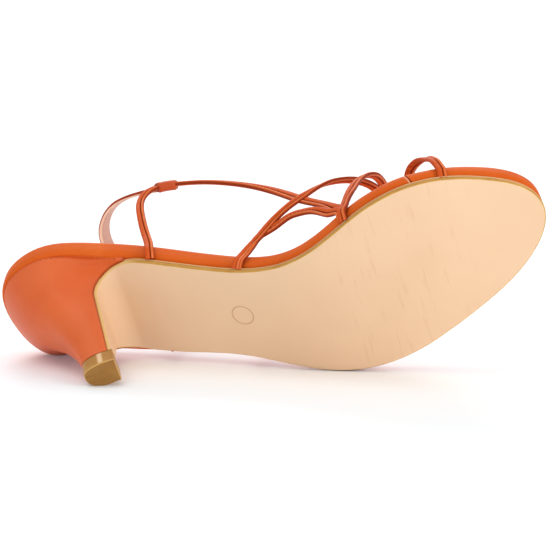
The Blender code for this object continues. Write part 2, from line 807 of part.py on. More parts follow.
def resting_face(pieces):
    """Outward normal and a corner of the hull face that the shoe rests on, on its outer side and lowest at the heel tip."""
    hull = bmesh.new()
    mass = 0.0
    balance = Vector()
    for piece in pieces:
        work = bmesh.new()
        work.from_mesh(piece.data)
        volume = work.calc_volume()
        middle = sum((vert.co for vert in work.verts), Vector()) / len(work.verts)
        mass += volume
        balance += middle * volume
        work.free()
        hull.from_mesh(piece.data)
    balance /= mass
    bmesh.ops.convex_hull(hull, input=hull.verts[:], use_existing_faces=False)
    loose = [vert for vert in hull.verts if not vert.link_faces]
    bmesh.ops.delete(hull, geom=loose, context="VERTS")
    bmesh.ops.recalc_face_normals(hull, faces=hull.faces[:])
    best = None
    for face in hull.faces:
        if len(face.verts) != 3 or face.normal.x > -0.5:
            continue
        corners = [vert.co.copy() for vert in face.verts]
        if not inside(balance, corners, face.normal):
            continue
        if best is None or face.normal.z < best[0].z:
            best = (face.normal.copy(), corners)
    hull.free()
    return best


def lay_down(pieces, guides):
    """Turns the standing shoe onto the face it rests on, its length along X and its upper towards +Y."""
    normal, corners = resting_face(pieces)
    up = -normal
    forward = Vector((0, 1, 0))
    forward = (forward - up * forward.dot(up)).normalized()
    turn = Matrix((forward, up.cross(forward), up))
    places = [turn @ vert.co for piece in pieces for vert in piece.data.vertices]
    low = Vector([min(place[i] for place in places) for i in range(3)])
    high = Vector([max(place[i] for place in places) for i in range(3)])
    shift = Vector((-(low.x + high.x) / 2, -(low.y + high.y) / 2, -low.z))
    rest = bpy.data.objects.new("rest_pose", None)
    bpy.context.scene.collection.objects.link(rest)
    rest.matrix_world = Matrix.Translation(shift) @ turn.to_4x4()
    for item in pieces + guides:
        item.parent = rest
    return rest, corners


def main():
    clear_scene()
    heel, pocket = build_heel()
    upper, others = build_upper()
    pieces = [build_insole(), build_outsole(), heel, build_tip(), upper, build_toe_loop(), build_sling()]
    pieces.append(build_keeper("inner_keeper", inner_ankle_route, "inner_ankle", "inner_ball_back"))
    pieces.append(build_keeper("outer_keeper", outer_ankle_route, "outer_ankle", "outer_ball_back"))
    lay_down(pieces + others, [pocket])


main()
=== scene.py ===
import json
import math

import bpy
import numpy as np
from mathutils import Matrix, Vector


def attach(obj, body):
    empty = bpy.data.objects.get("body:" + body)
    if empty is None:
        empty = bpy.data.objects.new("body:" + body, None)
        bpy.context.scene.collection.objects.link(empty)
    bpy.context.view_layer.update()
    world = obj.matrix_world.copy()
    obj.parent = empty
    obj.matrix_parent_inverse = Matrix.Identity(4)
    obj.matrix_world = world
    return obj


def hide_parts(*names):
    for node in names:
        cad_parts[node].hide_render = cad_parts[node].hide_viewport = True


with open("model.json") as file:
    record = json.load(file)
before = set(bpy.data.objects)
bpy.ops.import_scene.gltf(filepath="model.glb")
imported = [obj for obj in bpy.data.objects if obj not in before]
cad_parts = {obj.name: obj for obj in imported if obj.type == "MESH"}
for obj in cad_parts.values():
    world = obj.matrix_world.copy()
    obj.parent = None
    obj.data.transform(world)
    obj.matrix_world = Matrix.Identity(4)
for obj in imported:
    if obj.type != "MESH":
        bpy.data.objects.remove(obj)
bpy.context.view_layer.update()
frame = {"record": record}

print("frame loaded")

# sizes the pieces share, in metres and standing up: x to the inner side, y from heel to toe, z up
shoe = {
    "footLength": 0.236, "heelEnd": 0.0012, "ballWidth": 0.075, "heelRise": 0.0673,
    "rimThickness": 0.0098, "rimUnderRadius": 0.0036, "rimTopRadius": 0.0028,
    "rimOverhang": 0.0006, "seatTuck": 0.33, "breastPlace": 0.044, "breastFillet": 0.008,
    "flapStart": 0.06, "tipHeight": 0.008, "strapRise": 0.06, "strapThickness": 0.0018,
    "strapWidth": 0.0042, "keeperAlong": 0.36, "gap": 0.0003,
}

# half widths of the sole: way along it, then its inner and outer side as shares of the ball width
outlineRows = [
    (0.05, 0.3, 0.328), (0.12, 0.356, 0.34), (0.2, 0.317, 0.337), (0.3, 0.273, 0.37),
    (0.42, 0.198, 0.413), (0.55, 0.243, 0.535), (0.68, 0.462, 0.55), (0.8, 0.531, 0.433),
    (0.9, 0.435, 0.29), (0.96, 0.327, 0.144),
]
outlineEnds = {"heel": 0.033, "toe": 0.11}

# the sole's upper face: way along it, then its height as a share of the heel rise
profileRows = [
    (0.0, 1.0), (0.1, 0.908), (0.2, 0.796), (0.3, 0.608), (0.4, 0.425), (0.5, 0.232),
    (0.6, 0.099), (0.68, 0.055), (0.76, 0.041), (0.88, 0.0575), (1.0, 0.0635),
]


# the standing shoe's shape
# a cubic through the values, natural at its ends or closed over a period
def smoothCurve(knots, values, period=None):
    x = np.array(knots, float)
    y = np.array(values, float)
    if period:
        x = np.append(x, x[0] + period)
        y = np.concatenate([y, y[:1]])
    count = len(x)
    h = np.diff(x)
    slope = np.diff(y, axis=0) / h.reshape(-1, *[1] * (y.ndim - 1))
    system = np.zeros((count, count))
    right = np.zeros(y.shape)
    for i in range(1, count - 1):
        system[i, i - 1:i + 2] = h[i - 1], 2 * (h[i - 1] + h[i]), h[i]
        right[i] = 6 * (slope[i] - slope[i - 1])
    system[0, 0] = 1
    system[-1, -1] = 1
    if period:
        system[0, -1] = -1
        system[-1] = 0
        system[-1, [0, 1, -2, -1]] = 2 * h[0], h[0], h[-1], 2 * h[-1]
        right[-1] = 6 * (slope[0] - slope[-1])
    bend = np.linalg.solve(system, right)

    def value(t):
        if period:
            t = x[0] + (t - x[0]) % period
        i = int(np.clip(np.searchsorted(x, t, "right") - 1, 0, count - 2))
        u = t - x[i]
        first = slope[i] - h[i] * (2 * bend[i] + bend[i + 1]) / 6
        return y[i] + u * (first + u * (bend[i] / 2 + u * (bend[i + 1] - bend[i]) / (6 * h[i])))

    return value


def lookUp(rows, t, column=1):  # a column of the rows against their first, straight between them
    return float(np.interp(t, [row[0] for row in rows], [row[column] for row in rows]))


def ease(t):
    t = min(max(t, 0.0), 1.0)
    return t * t * (3 - 2 * t)


def roundOff(distance, radius):  # how full a rounded border is at a distance from its edge, 0 to 1
    return math.sqrt(max(1 - (1 - min(distance / radius, 1)) ** 2, 0))


def runAlong(points):
    return np.concatenate([[0], np.cumsum([(b - a).length for a, b in zip(points, points[1:])])])


def makeOutline():
    alongs, inners, outers = np.array(outlineRows).T
    turns = np.arccos(1 - 2 * alongs)
    knots = [0.0, *turns, math.pi, *(2 * math.pi - turns[::-1])]
    halves = [outlineEnds["heel"], *inners, outlineEnds["toe"], *-outers[::-1]]
    return smoothCurve(knots, np.array(halves) * shoe["ballWidth"], 2 * math.pi)


outline = makeOutline()
profile = smoothCurve(*zip(*profileRows))


def bed(y):  # height of the sole's upper face
    share = min(max(y / shoe["footLength"], -0.02), 1.02)
    return max(shoe["heelRise"] * float(profile(share)), outsole["thickness"])


def bedNormal(y):  # the direction square to the sole's upper face: along the foot, and up
    step = 0.0005
    slope = (bed(y + step) - bed(y - step)) / (2 * step)
    length = math.hypot(1, slope)
    return -slope / length, 1 / length


def lifted(x, y, offset):  # a point over the sole's upper face, square to it
    along, upward = bedNormal(y)
    return Vector((x, y + offset * along, bed(y) + offset * upward))


def outlinePoint(turn):
    reach = shoe["footLength"] - shoe["heelEnd"]
    return float(outline(turn)), shoe["heelEnd"] + reach * (1 - math.cos(turn)) / 2


def edgePoint(turn, inset):  # a point of the outline, moved square to it
    step = 0.01
    dx, dy = np.subtract(outlinePoint(turn + step), outlinePoint(turn - step))
    length = math.hypot(dx, dy)
    x, y = outlinePoint(turn)
    return x - inset * dy / length, y + inset * dx / length


def turnAt(y, side):
    share = (y - shoe["heelEnd"]) / (shoe["footLength"] - shoe["heelEnd"])
    turn = math.acos(1 - 2 * min(max(share, 0.0), 1.0))
    return turn if side > 0 else 2 * math.pi - turn


def halfWidth(y, side):
    return abs(outlinePoint(turnAt(y, side))[0])


# how the standing shoe lies, read off a mount of the part: the tip's face
tipMiddle = Vector((-0.001, 0.038, 0))


def layingDown():
    mounts = {mount["name"]: mount for mount in frame["record"]["mounts"]}
    tip = Vector(mounts["heel_tip_face"]["pos_m"])
    up = -Vector(mounts["heel_tip_face"]["axis"]).normalized()
    ahead = Vector((up.z, 0, -up.x)).normalized()  # the shoe's length has no part along the frame's y
    turn = Matrix((ahead.cross(up), ahead, up)).transposed()
    return Matrix.Translation(tip - turn @ tipMiddle) @ turn.to_4x4()


lying = layingDown()


# tools for making pieces
def deselectAll():
    if bpy.context.object and bpy.context.object.mode != "OBJECT":
        bpy.ops.object.mode_set(mode="OBJECT")
    bpy.ops.object.select_all(action="DESELECT")


# a grid laid over rings of standing places; its UV runs round it, and along it in centimetres
def gridOver(name, rings, closed=True, capped=True, sharpAngle=50):
    rings = np.array([[tuple(point) for point in ring] for ring in rings])
    if closed:
        rings = np.concatenate([rings, rings[:, :1]], axis=1)
    rows, columns = rings.shape[:2]
    deselectAll()
    bpy.ops.mesh.primitive_grid_add(x_subdivisions=rows - 1, y_subdivisions=columns - 1, size=1)
    piece = bpy.context.object
    piece.name = name
    mesh = piece.data
    mesh.name = name
    flat = np.empty(len(mesh.vertices) * 3)
    mesh.vertices.foreach_get("co", flat)
    flat = flat.reshape(-1, 3)
    i = np.rint((flat[:, 0] + 0.5) * (rows - 1)).astype(int)
    j = np.rint((flat[:, 1] + 0.5) * (columns - 1)).astype(int)
    standing = rings[i, j]
    turn = np.array(lying.to_3x3())
    mesh.vertices.foreach_set("co", (standing @ turn.T + np.array(lying.translation)).ravel())
    place = mesh.attributes.new("standing", "FLOAT_VECTOR", "POINT")
    place.data.foreach_set("vector", standing.ravel())
    run = runAlong([Vector(middle) for middle in rings.mean(axis=1)])
    uv = np.empty(len(mesh.loops) * 2)
    mesh.uv_layers.active.data.foreach_get("uv", uv)
    uv = uv.reshape(-1, 2)
    uv[:, 0] = np.interp(uv[:, 0] * (rows - 1), np.arange(rows), run * 100)
    mesh.uv_layers.active.data.foreach_set("uv", uv.ravel())
    mesh.update()
    deselectAll()
    piece.select_set(True)
    bpy.context.view_layer.objects.active = piece
    bpy.ops.object.mode_set(mode="EDIT")
    bpy.ops.mesh.select_all(action="SELECT")
    if closed:
        bpy.ops.mesh.remove_doubles(threshold=0.000004)
        if capped:
            bpy.ops.mesh.fill_holes(sides=0)
    bpy.ops.mesh.select_all(action="SELECT")
    bpy.ops.mesh.normals_make_consistent(inside=False)
    bpy.ops.object.mode_set(mode="OBJECT")
    bpy.ops.object.shade_smooth_by_angle(angle=math.radians(sharpAngle))
    return piece


# gives the faces whose round share of the UV lies in a span their own material slot
def slotSpans(piece, spans):
    mesh = piece.data
    uv = mesh.uv_layers.active.data
    for face in mesh.polygons:
        share = sum(uv[k].uv.y for k in face.loop_indices) / len(face.loop_indices)
        for low, high, slot in spans:
            if low <= share <= high:
                face.material_index = slot


# a section's ring: over its face, down the inner side, back under it and up the outer side
def sectionRing(inner, outer, columns):
    ring = [outer[0].lerp(inner[0], k / columns) for k in range(1, columns)] + inner
    return ring + [inner[-1].lerp(outer[-1], k / columns) for k in range(1, columns)] + outer[::-1]


# outsole: thin sheet that turns down over the heel breast as a flap
outsole = {
    "thickness": 0.0029, "margin": 0.0004, "flapThickness": 0.0016, "edgeRound": 0.0009,
    "cornerReach": 0.008, "paleFaces": 1, "crestFaces": 3,
    "sheetRows": 150, "tipRows": 24, "filletRows": 30, "columns": 28, "roundSteps": 4,
}

# half widths of the breast flap: way up it, then inner and outer as shares of the sole's where it starts
flapRows = [
    (0.0, 0.185, 0.222), (0.25, 0.345, 0.33), (0.42, 0.46, 0.44), (0.59, 0.56, 0.59),
    (0.7, 0.627, 0.73), (0.81, 0.735, 0.875), (0.91, 0.85, 0.965), (1.0, 0.935, 1.0),
]
flapUps, flapInners, flapOuters = zip(*flapRows)
flapCurves = {1: smoothCurve(flapUps, flapInners), -1: smoothCurve(flapUps, flapOuters)}


# the sole's visible face from the tip up the breast, over the fillet to where the flap starts
def breastPath():
    fillet = shoe["breastFillet"]
    thin, thick = outsole["flapThickness"], outsole["thickness"]
    for y in np.linspace(shoe["flapStart"], shoe["breastPlace"], 200):
        under = lifted(0, y, -thick)
        across, upward = bedNormal(y)
        centreY, centreZ = under.y - fillet * across, under.z - fillet * upward
        if centreY <= shoe["breastPlace"] + fillet:
            break
    first = math.atan2(upward, across)
    foot = shoe["tipHeight"] + shoe["gap"]
    rows = []
    for share in np.linspace(0, 1, outsole["tipRows"])[:-1]:
        rows.append((shoe["breastPlace"], foot + (centreZ - foot) * share, -1.0, 0.0, thin))
    for share in np.linspace(0, 1, outsole["filletRows"]):
        angle = math.pi + (first - math.pi) * share
        across, upward = math.cos(angle), math.sin(angle)
        depth = thin + (thick - thin) * ease(share)
        rows.append((centreY + fillet * across, centreZ + fillet * upward, across, upward, depth))
    for here in np.linspace(y, shoe["flapStart"], 7)[1:]:
        under = lifted(0, here, -thick)
        rows.append((under.y, under.z, *bedNormal(here), thick))
    return np.array(rows)


pathRows = breastPath()
pathRun = np.concatenate([[0], np.cumsum(np.hypot(*np.diff(pathRows[:, :2], axis=0).T))])
pathShares = pathRun / pathRun[-1]


def onPath(share, recess):  # a point behind the flap's visible face
    y, z, across, upward = [float(np.interp(share, pathShares, pathRows[:, k])) for k in range(4)]
    return y + recess * across, z + recess * upward


def flapHalf(share, side):
    return float(flapCurves[side](share)) * (halfWidth(shoe["flapStart"], side) + outsole["margin"])


# a section's corners: how deep each lies under the visible face and how far in from the edge
def soleCorners(thickness):
    r = outsole["edgeRound"]
    steps = np.linspace(math.pi / 2, 0, outsole["roundSteps"] + 1)
    under = [(r * (1 - math.sin(a)), r * (1 - math.cos(a))) for a in steps]
    over = [(thickness - r * (1 - math.cos(a)), r * (1 - math.sin(a))) for a in steps[::-1]]
    return under + over


# how much narrower the sheet is where its edge rounds into the flap
def cornerInset(y, side):
    ahead = max(1 - (y - shoe["flapStart"]) / outsole["cornerReach"], 0.0)
    return (halfWidth(shoe["flapStart"], side) + outsole["margin"] - flapHalf(1.0, side)) * ahead ** 2


def makeOutsole():
    columns = outsole["columns"]
    thick = outsole["thickness"]
    sections = []
    for turn in np.linspace(math.pi, turnAt(shoe["flapStart"], 1), outsole["sheetRows"])[:-1]:
        sides = []
        for path, side in ((turn, 1), (2 * math.pi - turn, -1)):
            margin = outsole["margin"] - cornerInset(outlinePoint(path)[1], side)
            corners = soleCorners(thick)
            sides.append([lifted(*edgePoint(path, inset - margin), deep - thick) for deep, inset in corners])
        sections.append(sides)
    for share, (y, z, across, upward, depth) in reversed(list(zip(pathShares, pathRows))):
        sides = []
        for side in (1, -1):
            half = flapHalf(share, side)
            sides.append([
                Vector((side * (half - inset), y + deep * across, z + deep * upward))
                for deep, inset in soleCorners(depth)
            ])
        sections.append(sides)
    rings = [sectionRing(inner, outer, columns) for inner, outer in sections]
    piece = gridOver("outsoleSheet", rings)
    count = len(rings[0])
    corners = len(sections[0][0])
    inner, outer = (columns - 1) / count, (2 * columns + corners - 2) / count
    last = (corners - 1) / count
    pale, crest = outsole["paleFaces"] / count, outsole["crestFaces"] / count
    slotSpans(piece, [
        (inner, inner + last, 1), (inner, inner + pale, 2), (inner + last - crest, inner + last, 3),
        (outer, outer + last, 1), (outer, outer + crest, 3), (outer + last - pale, outer + last, 2),
    ])
    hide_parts("outsole")
    return piece


# insole: a platform wrapped in leather, with a lining on top
insole = {
    "rows": 230, "roundSteps": 7, "sideSteps": 4, "columns": 26,
    "liningInset": 0.0021, "liningProud": 0.0003, "liningEdge": 0.0006, "liningRound": 0.0012,
    "liningColumns": 44,
}
# way along it, then its thickness as a share of the rim's
insoleRows = [
    (0.0, 1.0), (0.22, 0.99), (0.4, 0.94), (0.5, 0.87), (0.58, 0.92), (0.66, 0.85),
    (0.72, 0.77), (0.82, 0.74), (0.93, 0.93), (1.0, 1.0),
]


def insoleAt(y):
    return shoe["rimThickness"] * lookUp(insoleRows, y / shoe["footLength"])


def footbed(y):
    return bed(y) + (shoe["gap"] + insoleAt(y)) / bedNormal(y)[1]


# share of the rim's under radius: a part on the heel seat, all of it in front of the breast
def tuck(y):
    forward = (y - shoe["breastPlace"]) / (shoe["flapStart"] - shoe["breastPlace"])
    return shoe["seatTuck"] + (1 - shoe["seatTuck"]) * ease(forward)


def rimLevels(y):  # rows of level and inset up the rim's side
    below, above, top = shoe["rimUnderRadius"], shoe["rimTopRadius"], insoleAt(y)
    angles = np.linspace(0, math.pi / 2, insole["roundSteps"] + 1)
    under = [(below * (1 - math.cos(a)), below * (1 - math.sin(a)) * tuck(y)) for a in angles]
    over = [(top + above * (math.sin(a) - 1), above * (1 - math.cos(a))) for a in angles]
    low, high = under[-1][0], over[0][0]
    side = [(low + (high - low) * k / insole["sideSteps"], 0.0) for k in range(1, insole["sideSteps"])]
    return under + side + over


def makeInsole():
    rings = []
    for turn in np.linspace(0, math.pi, insole["rows"]):
        sides = []
        for path in (turn, 2 * math.pi - turn):
            sides.append([
                lifted(*edgePoint(path, inset - shoe["rimOverhang"]), shoe["gap"] + level)
                for level, inset in rimLevels(outlinePoint(path)[1])
            ])
        rings.append(sectionRing(*sides, insole["columns"]))
    piece = gridOver("insoleRim", rings)
    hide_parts("insole")
    return piece


# the lining: a softly crowned sheet set on the platform, its border turned under
def makeLining():
    rings = []
    for turn in np.linspace(0, math.pi, insole["rows"]):
        innerX, innerY = edgePoint(turn, insole["liningInset"])
        outerX, outerY = edgePoint(2 * math.pi - turn, insole["liningInset"])
        ring = []
        for share in np.linspace(0, 1, insole["liningColumns"] + 1):
            y = innerY + (outerY - innerY) * share
            full = roundOff(min(share, 1 - share) * abs(innerX - outerX), insole["liningRound"])
            rise = insole["liningProud"] + insole["liningEdge"] * (full - 1)
            ring.append(lifted(innerX + (outerX - innerX) * share, y, shoe["gap"] + insoleAt(y) + rise))
        rings.append(ring)
    piece = gridOver("sockLining", rings, closed=False)
    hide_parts("insole")
    return piece


# heel: a flared block under the seat, wrapped in leather
heel = {
    "inset": 0.0008, "recess": 0.0013, "lap": 0.0005, "squareness": 2.6, "coverTurn": 0.4,
    "underRim": 0.0009, "rows": 90, "points": 110,
    "seamEnd": 0.004, "seamDrop": 0.0007, "seamPoints": 90,
}
# flare: way up the heel, then its back, inner and outer side, 0 at the tip and 1 at the seat
flareRows = [
    (0.0, 0.0, 0.0, 0.0), (0.1, 0.05, 0.05, 0.05), (0.26, 0.15, 0.15, 0.14), (0.37, 0.25, 0.25, 0.17),
    (0.47, 0.36, 0.36, 0.22), (0.57, 0.5, 0.5, 0.29), (0.71, 0.71, 0.7, 0.44), (0.86, 0.88, 0.88, 0.71),
    (1.0, 1.0, 1.0, 1.0),
]
flareUps, flareBacks, flareInners, flareOuters = zip(*flareRows)
backFlare = smoothCurve(flareUps, flareBacks)
sideFlares = {1: smoothCurve(flareUps, flareInners), -1: smoothCurve(flareUps, flareOuters)}
tip = {
    "back": 0.0304, "front": 0.0448, "innerHalf": 0.0048, "outerHalf": 0.0074, "edge": 0.0006,
    "levels": 12, "roundSteps": 4, "treadRings": 4,
}


# a section between the tip's own outline and the seat's, its front corners on the flap
def heelRing(up, frontY, frontZ, backY, backZ, sag):
    seatBack = shoe["heelEnd"] + heel["inset"]
    seatLength = shoe["flapStart"] - seatBack
    power = heel["squareness"]
    last = turnAt(shoe["flapStart"], 1)
    ring = []
    for turn in np.linspace(last, -last, heel["points"] + 1):
        seatX, seatY = edgePoint(turn, heel["inset"])
        side = 1 if seatX > 0 else -1
        share = min(max((seatY - seatBack) / seatLength, 0.0), 1.0)
        tipHalf = tip["innerHalf"] if side > 0 else tip["outerHalf"]
        tipX = side * tipHalf * (1 - (1 - share) ** power) ** (1 / power)
        cornerX = side * (flapHalf(up, side) + heel["lap"])
        x = tipX + (seatX - tipX) * float(sideFlares[side](up))
        x += (cornerX - x) * ease((share - heel["coverTurn"]) / (1 - heel["coverTurn"]))
        chord = bed(seatBack) + (bed(shoe["flapStart"]) - bed(seatBack)) * share
        y = backY + (frontY - backY) * share
        z = backZ + (frontZ - backZ) * share + (bed(seatY) - chord) * sag
        ring.append(Vector((x, y, z)))
    return ring


def makeHeel():
    foot = shoe["tipHeight"] + shoe["gap"]
    seatBack = shoe["heelEnd"] + heel["inset"]
    seat = bed(seatBack) - heel["recess"]
    front = shoe["flapStart"]
    rings = []
    for up in np.linspace(0, 1, heel["rows"] + 1):
        backY = tip["back"] + (seatBack - tip["back"]) * float(backFlare(up))
        rings.append(heelRing(up, *onPath(up, heel["recess"]), backY, foot + (seat - foot) * up, up * up))
    for rise in (0.0, heel["underRim"]):
        rings.append(heelRing(1.0, front, bed(front) + rise, seatBack, bed(seatBack) + rise, 1.0))
    piece = gridOver("heelCover", rings)
    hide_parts("heel_block")
    return piece


# the row of threads where the cover meets the rim
def heelSeam():
    end = turnAt(shoe["flapStart"] - heel["seamEnd"], 1)
    rows = []
    for turn in np.linspace(-end, end, heel["seamPoints"]):
        x, y = edgePoint(turn, heel["inset"])
        facing = (Vector(edgePoint(turn, -0.001)) - Vector(edgePoint(turn, 0.001))).normalized()
        rows.append((Vector((x, y, bed(y) - heel["seamDrop"])), Vector((*facing, 0))))
    return layStitches("heelSeamThreads", rows, "heel", "heel_block")


# heel tip: a rubber top piece
def makeTip():
    base = heelRing(0.0, tip["front"], 0.0, tip["back"], 0.0, 0.0)
    middle = Vector((sum(point.x for point in base) / len(base), (tip["back"] + tip["front"]) / 2, 0))
    edge = tip["edge"]
    levels = [(shoe["tipHeight"], 0.0)]
    levels += [(z, 0.0) for z in np.linspace(shoe["tipHeight"] - 0.0005, edge + 0.0005, tip["levels"])]
    angles = np.linspace(0, math.pi / 2, tip["roundSteps"] + 1)
    levels += [(edge * (1 - math.sin(a)), edge * (1 - math.cos(a))) for a in angles]
    rings = []
    for z, inset in levels:
        ring = []
        for point in base:
            flat = Vector((point.x, point.y, 0)) - middle
            ring.append(middle + flat * (1 - inset / flat.length) + Vector((0, 0, z)))
        rings.append(ring)
    tread = rings[-1]
    for k in range(tip["treadRings"], 0, -1):
        rings.append([middle.lerp(point, k / (tip["treadRings"] + 1)) for point in tread])
    piece = gridOver("heelTopPiece", rings)
    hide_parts("heel_tip")
    return piece


# stitches: short threads laid one after another, each a small rounded bar
stitchKinds = {
    "strap": {"pitch": 0.0022, "length": 0.0015, "radius": 0.0002, "across": 0.52, "out": 0.93},
    "sling": {"pitch": 0.0016, "length": 0.0011, "radius": 0.00015, "across": -0.36, "out": -0.99},
    "heel": {"pitch": 0.0026, "length": 0.0018, "radius": 0.00016, "across": 0.0, "out": 0.0},
}
threads = []  # the rows of stitches on the straps and the slingback, dressed last


# one thread per pitch along places, each given with the way it faces
def layStitches(name, rows, kind, node):
    look = stitchKinds[kind]
    run = runAlong([row[0] for row in rows])
    deselectAll()
    bpy.ops.mesh.primitive_uv_sphere_add(segments=8, ring_count=5, radius=1)
    first = bpy.context.object
    first.name = name
    turn = lying.to_3x3()
    bars = []
    for middle in np.arange(look["pitch"], run[-1], look["pitch"]):
        i = int(np.clip(np.searchsorted(run, middle), 1, len(rows) - 1))
        place = rows[i - 1][0].lerp(rows[i][0], (middle - run[i - 1]) / (run[i] - run[i - 1]))
        ahead = (rows[i][0] - rows[i - 1][0]).normalized()
        facing = rows[i][1]
        side = ahead.cross(facing).normalized()
        bar = first.copy()
        bar.data = first.data.copy()
        bpy.context.collection.objects.link(bar)
        for vertex in bar.data.vertices:
            a, b, c = vertex.co
            spot = place + ahead * (c * look["length"] / 2) + (side * a + facing * b) * look["radius"]
            vertex.co = turn @ spot + lying.translation
        bars.append(bar)
    deselectAll()
    bpy.data.objects.remove(first)
    for bar in bars:
        bar.select_set(True)
    bpy.context.view_layer.objects.active = bars[0]
    bpy.ops.object.join()
    piece = bpy.context.object
    piece.name = name
    bpy.ops.object.shade_smooth()
    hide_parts(node)
    return piece


def stitchBand(name, frames, kind, width, thickness, span, node):  # a row of stitches on a band's face
    look = stitchKinds[kind]
    rows = []
    for i, (place, across, outward) in enumerate(frames):
        if span[0] <= i / (len(frames) - 1) <= span[1]:
            spot = place + across * look["across"] * width / 2 + outward * look["out"] * thickness / 2
            rows.append((spot, outward * math.copysign(1, look["out"])))
    threads.append(layStitches(name, rows, kind, node))


# straps: narrow folded bands with a groove between their two rolled edges
strap = {
    "step": 0.0008, "tuckRise": 0.0015, "tuckMargin": 0.0001, "rimClearance": 0.00036, "endDeep": 0.0012,
    "look": 0.0003, "pushReach": 3, "pushBlend": 4, "turnStart": 0.05, "turnOver": 0.25,
}
# a strap's section: across as a share of its half width, out as a share of its half thickness
strapSection = [
    (1.0, 0.0), (0.97, 0.45), (0.9, 0.78), (0.74, 0.98), (0.56, 1.0), (0.4, 0.84), (0.3, 0.45),
    (0.22, 0.15), (0.14, 0.45), (0.02, 0.86), (-0.2, 1.0), (-0.56, 1.0), (-0.84, 0.8), (-0.96, 0.45),
    (-1.0, 0.0), (-0.96, -0.5), (-0.8, -0.85), (-0.5, -0.98), (-0.14, -0.98), (0.08, -0.82),
    (0.22, -0.25), (0.36, -0.82), (0.72, -0.95), (0.96, -0.5),
]
# the line that the straps wrap round: way along the foot, then its height over the footbed
coreRows = [
    (0.2, 0.8), (0.3, 0.72), (0.42, 0.72), (0.52, 0.64), (0.57, 0.6), (0.62, 0.45), (0.7, 0.24),
    (0.75, 0.2), (1.0, 0.15),
]


def anchorPoint(anchor, level, outward):
    along, side, lean = anchor
    y = along * shoe["footLength"] + lean * level
    turn = turnAt(y - level * bedNormal(y)[0], side)
    return lifted(*edgePoint(turn, -outward - shoe["rimOverhang"]), level)


# points from the hidden end up to the rim's side, leaning along the foot
def rimAnchor(anchor):
    clear = shoe["strapThickness"] / 2 + shoe["gap"]
    square = Vector((0, *bedNormal(anchor[0] * shoe["footLength"])))
    rise = anchorPoint(anchor, shoe["rimUnderRadius"], 0) - anchorPoint(anchor, 0, 0)
    leaning = rise.normalized().cross(square).length
    step = strap["tuckRise"]
    flaring = clear / math.hypot(clear, step)
    low = shoe["gap"] + strap["tuckMargin"]
    low += (shoe["strapWidth"] * leaning + shoe["strapThickness"] * flaring) / 2
    levels = ((low - step, -strap["endDeep"]), (low, 0.0), (low + step, clear), (low + 2 * step, clear))
    return [anchorPoint(anchor, level, outward) for level, outward in levels]


def rimInset(level, y):  # how far the rim's side lies inside the outline at a level over the sole
    below, above = shoe["rimUnderRadius"], shoe["rimTopRadius"]
    if level < below:
        return below * (1 - roundOff(max(level, 0.0), below)) * tuck(y)
    return above * (1 - roundOff(insoleAt(y) - level, above))


def pushOffRim(place, across, outward):  # how far a strap moves out here until its edges clear the rim
    push = 0.0
    for edge in (-1, 0, 1):
        corner = place + across * edge * shoe["strapWidth"] / 2 - outward * shoe["strapThickness"] / 2
        side = 1 if corner.x > 0 else -1
        along, upward = bedNormal(corner.y)
        level = (corner.z - bed(corner.y)) * upward - shoe["gap"]
        if not 0 < level <= insoleAt(corner.y) + shoe["gap"]:
            continue
        y = corner.y - level * along
        room = side * corner.x - halfWidth(y, side) - shoe["rimOverhang"] + rimInset(level, y)
        push = max(push, strap["rimClearance"] - room)
    return push


def routePoint(along, across, rise):
    y = along * shoe["footLength"]
    return Vector((across * shoe["ballWidth"], y, bed(y) + rise * shoe["strapRise"]))


# places with their across and outward directions along a smooth route, or about one place on it
def routeFrames(points, normalsFrom, middleY=None, reach=None, hugsRim=True):
    knots = runAlong(points)
    curve = smoothCurve(knots, [tuple(point) for point in points])
    first, last = 0.0, knots[-1]
    if middleY is not None:
        middle = min(np.linspace(0, knots[-1], 2000), key=lambda at: abs(curve(at)[1] - middleY))
        first, last = middle - reach, middle + reach
    count = max(int(round((last - first) / strap["step"])), 4)
    look = strap["look"]
    frames = []
    for here in np.linspace(first, last, count + 1):
        place = Vector(curve(here))
        tangent = Vector(curve(min(here + look, knots[-1])) - curve(max(here - look, 0))).normalized()
        outward = normalsFrom(place)
        outward = (outward - tangent * outward.dot(tangent)).normalized()
        frames.append((place, tangent.cross(outward), outward))
    if hugsRim:
        reach, blend = strap["pushReach"], strap["pushBlend"]
        pushes = [pushOffRim(*each) for each in frames]
        pushes = [max(pushes[max(i - reach, 0):i + reach + 1]) for i in range(len(pushes))]
        pushes = [np.mean(pushes[max(i - blend, 0):i + blend + 1]) for i in range(len(pushes))]
        frames = [(place + out * push, across, out) for (place, across, out), push in zip(frames, pushes)]
    return frames


def offRim(place, outward):  # turns a direction square to the rim where a strap lies against it
    turn = turnAt(place.y, 1 if place.x > 0 else -1)
    level = (place.z - footbed(place.y)) / shoe["strapRise"]
    square = Vector((*edgePoint(turn, -1), 0)) - Vector((*edgePoint(turn, 0), 0))
    turned = ease((level - strap["turnStart"]) / strap["turnOver"])
    return outward.normalized().lerp(square, 1 - turned)


def fromCore(place):
    top = footbed(place.y) + lookUp(coreRows, place.y / shoe["footLength"]) * shoe["strapRise"]
    return offRim(place, Vector((place.x, 0, max(place.z - top, 0))))


def strapPoints(row):
    middle = [routePoint(*spot) for spot in row["route"]]
    return rimAnchor(row["first"]) + middle + rimAnchor(row["last"])[::-1]


# a band over its frames; its sizes are rows of place, width and thickness along it, as shares
def layBand(name, frames, section, width, thickness, sizes):
    rings = []
    for i, (place, across, outward) in enumerate(frames):
        share = i / (len(frames) - 1)
        wide = width / 2 * lookUp(sizes, share, 1)
        deep = thickness / 2 * lookUp(sizes, share, 2)
        rings.append([place + across * a * wide + outward * b * deep for a, b in section])
    return gridOver(name, rings, sharpAngle=75)


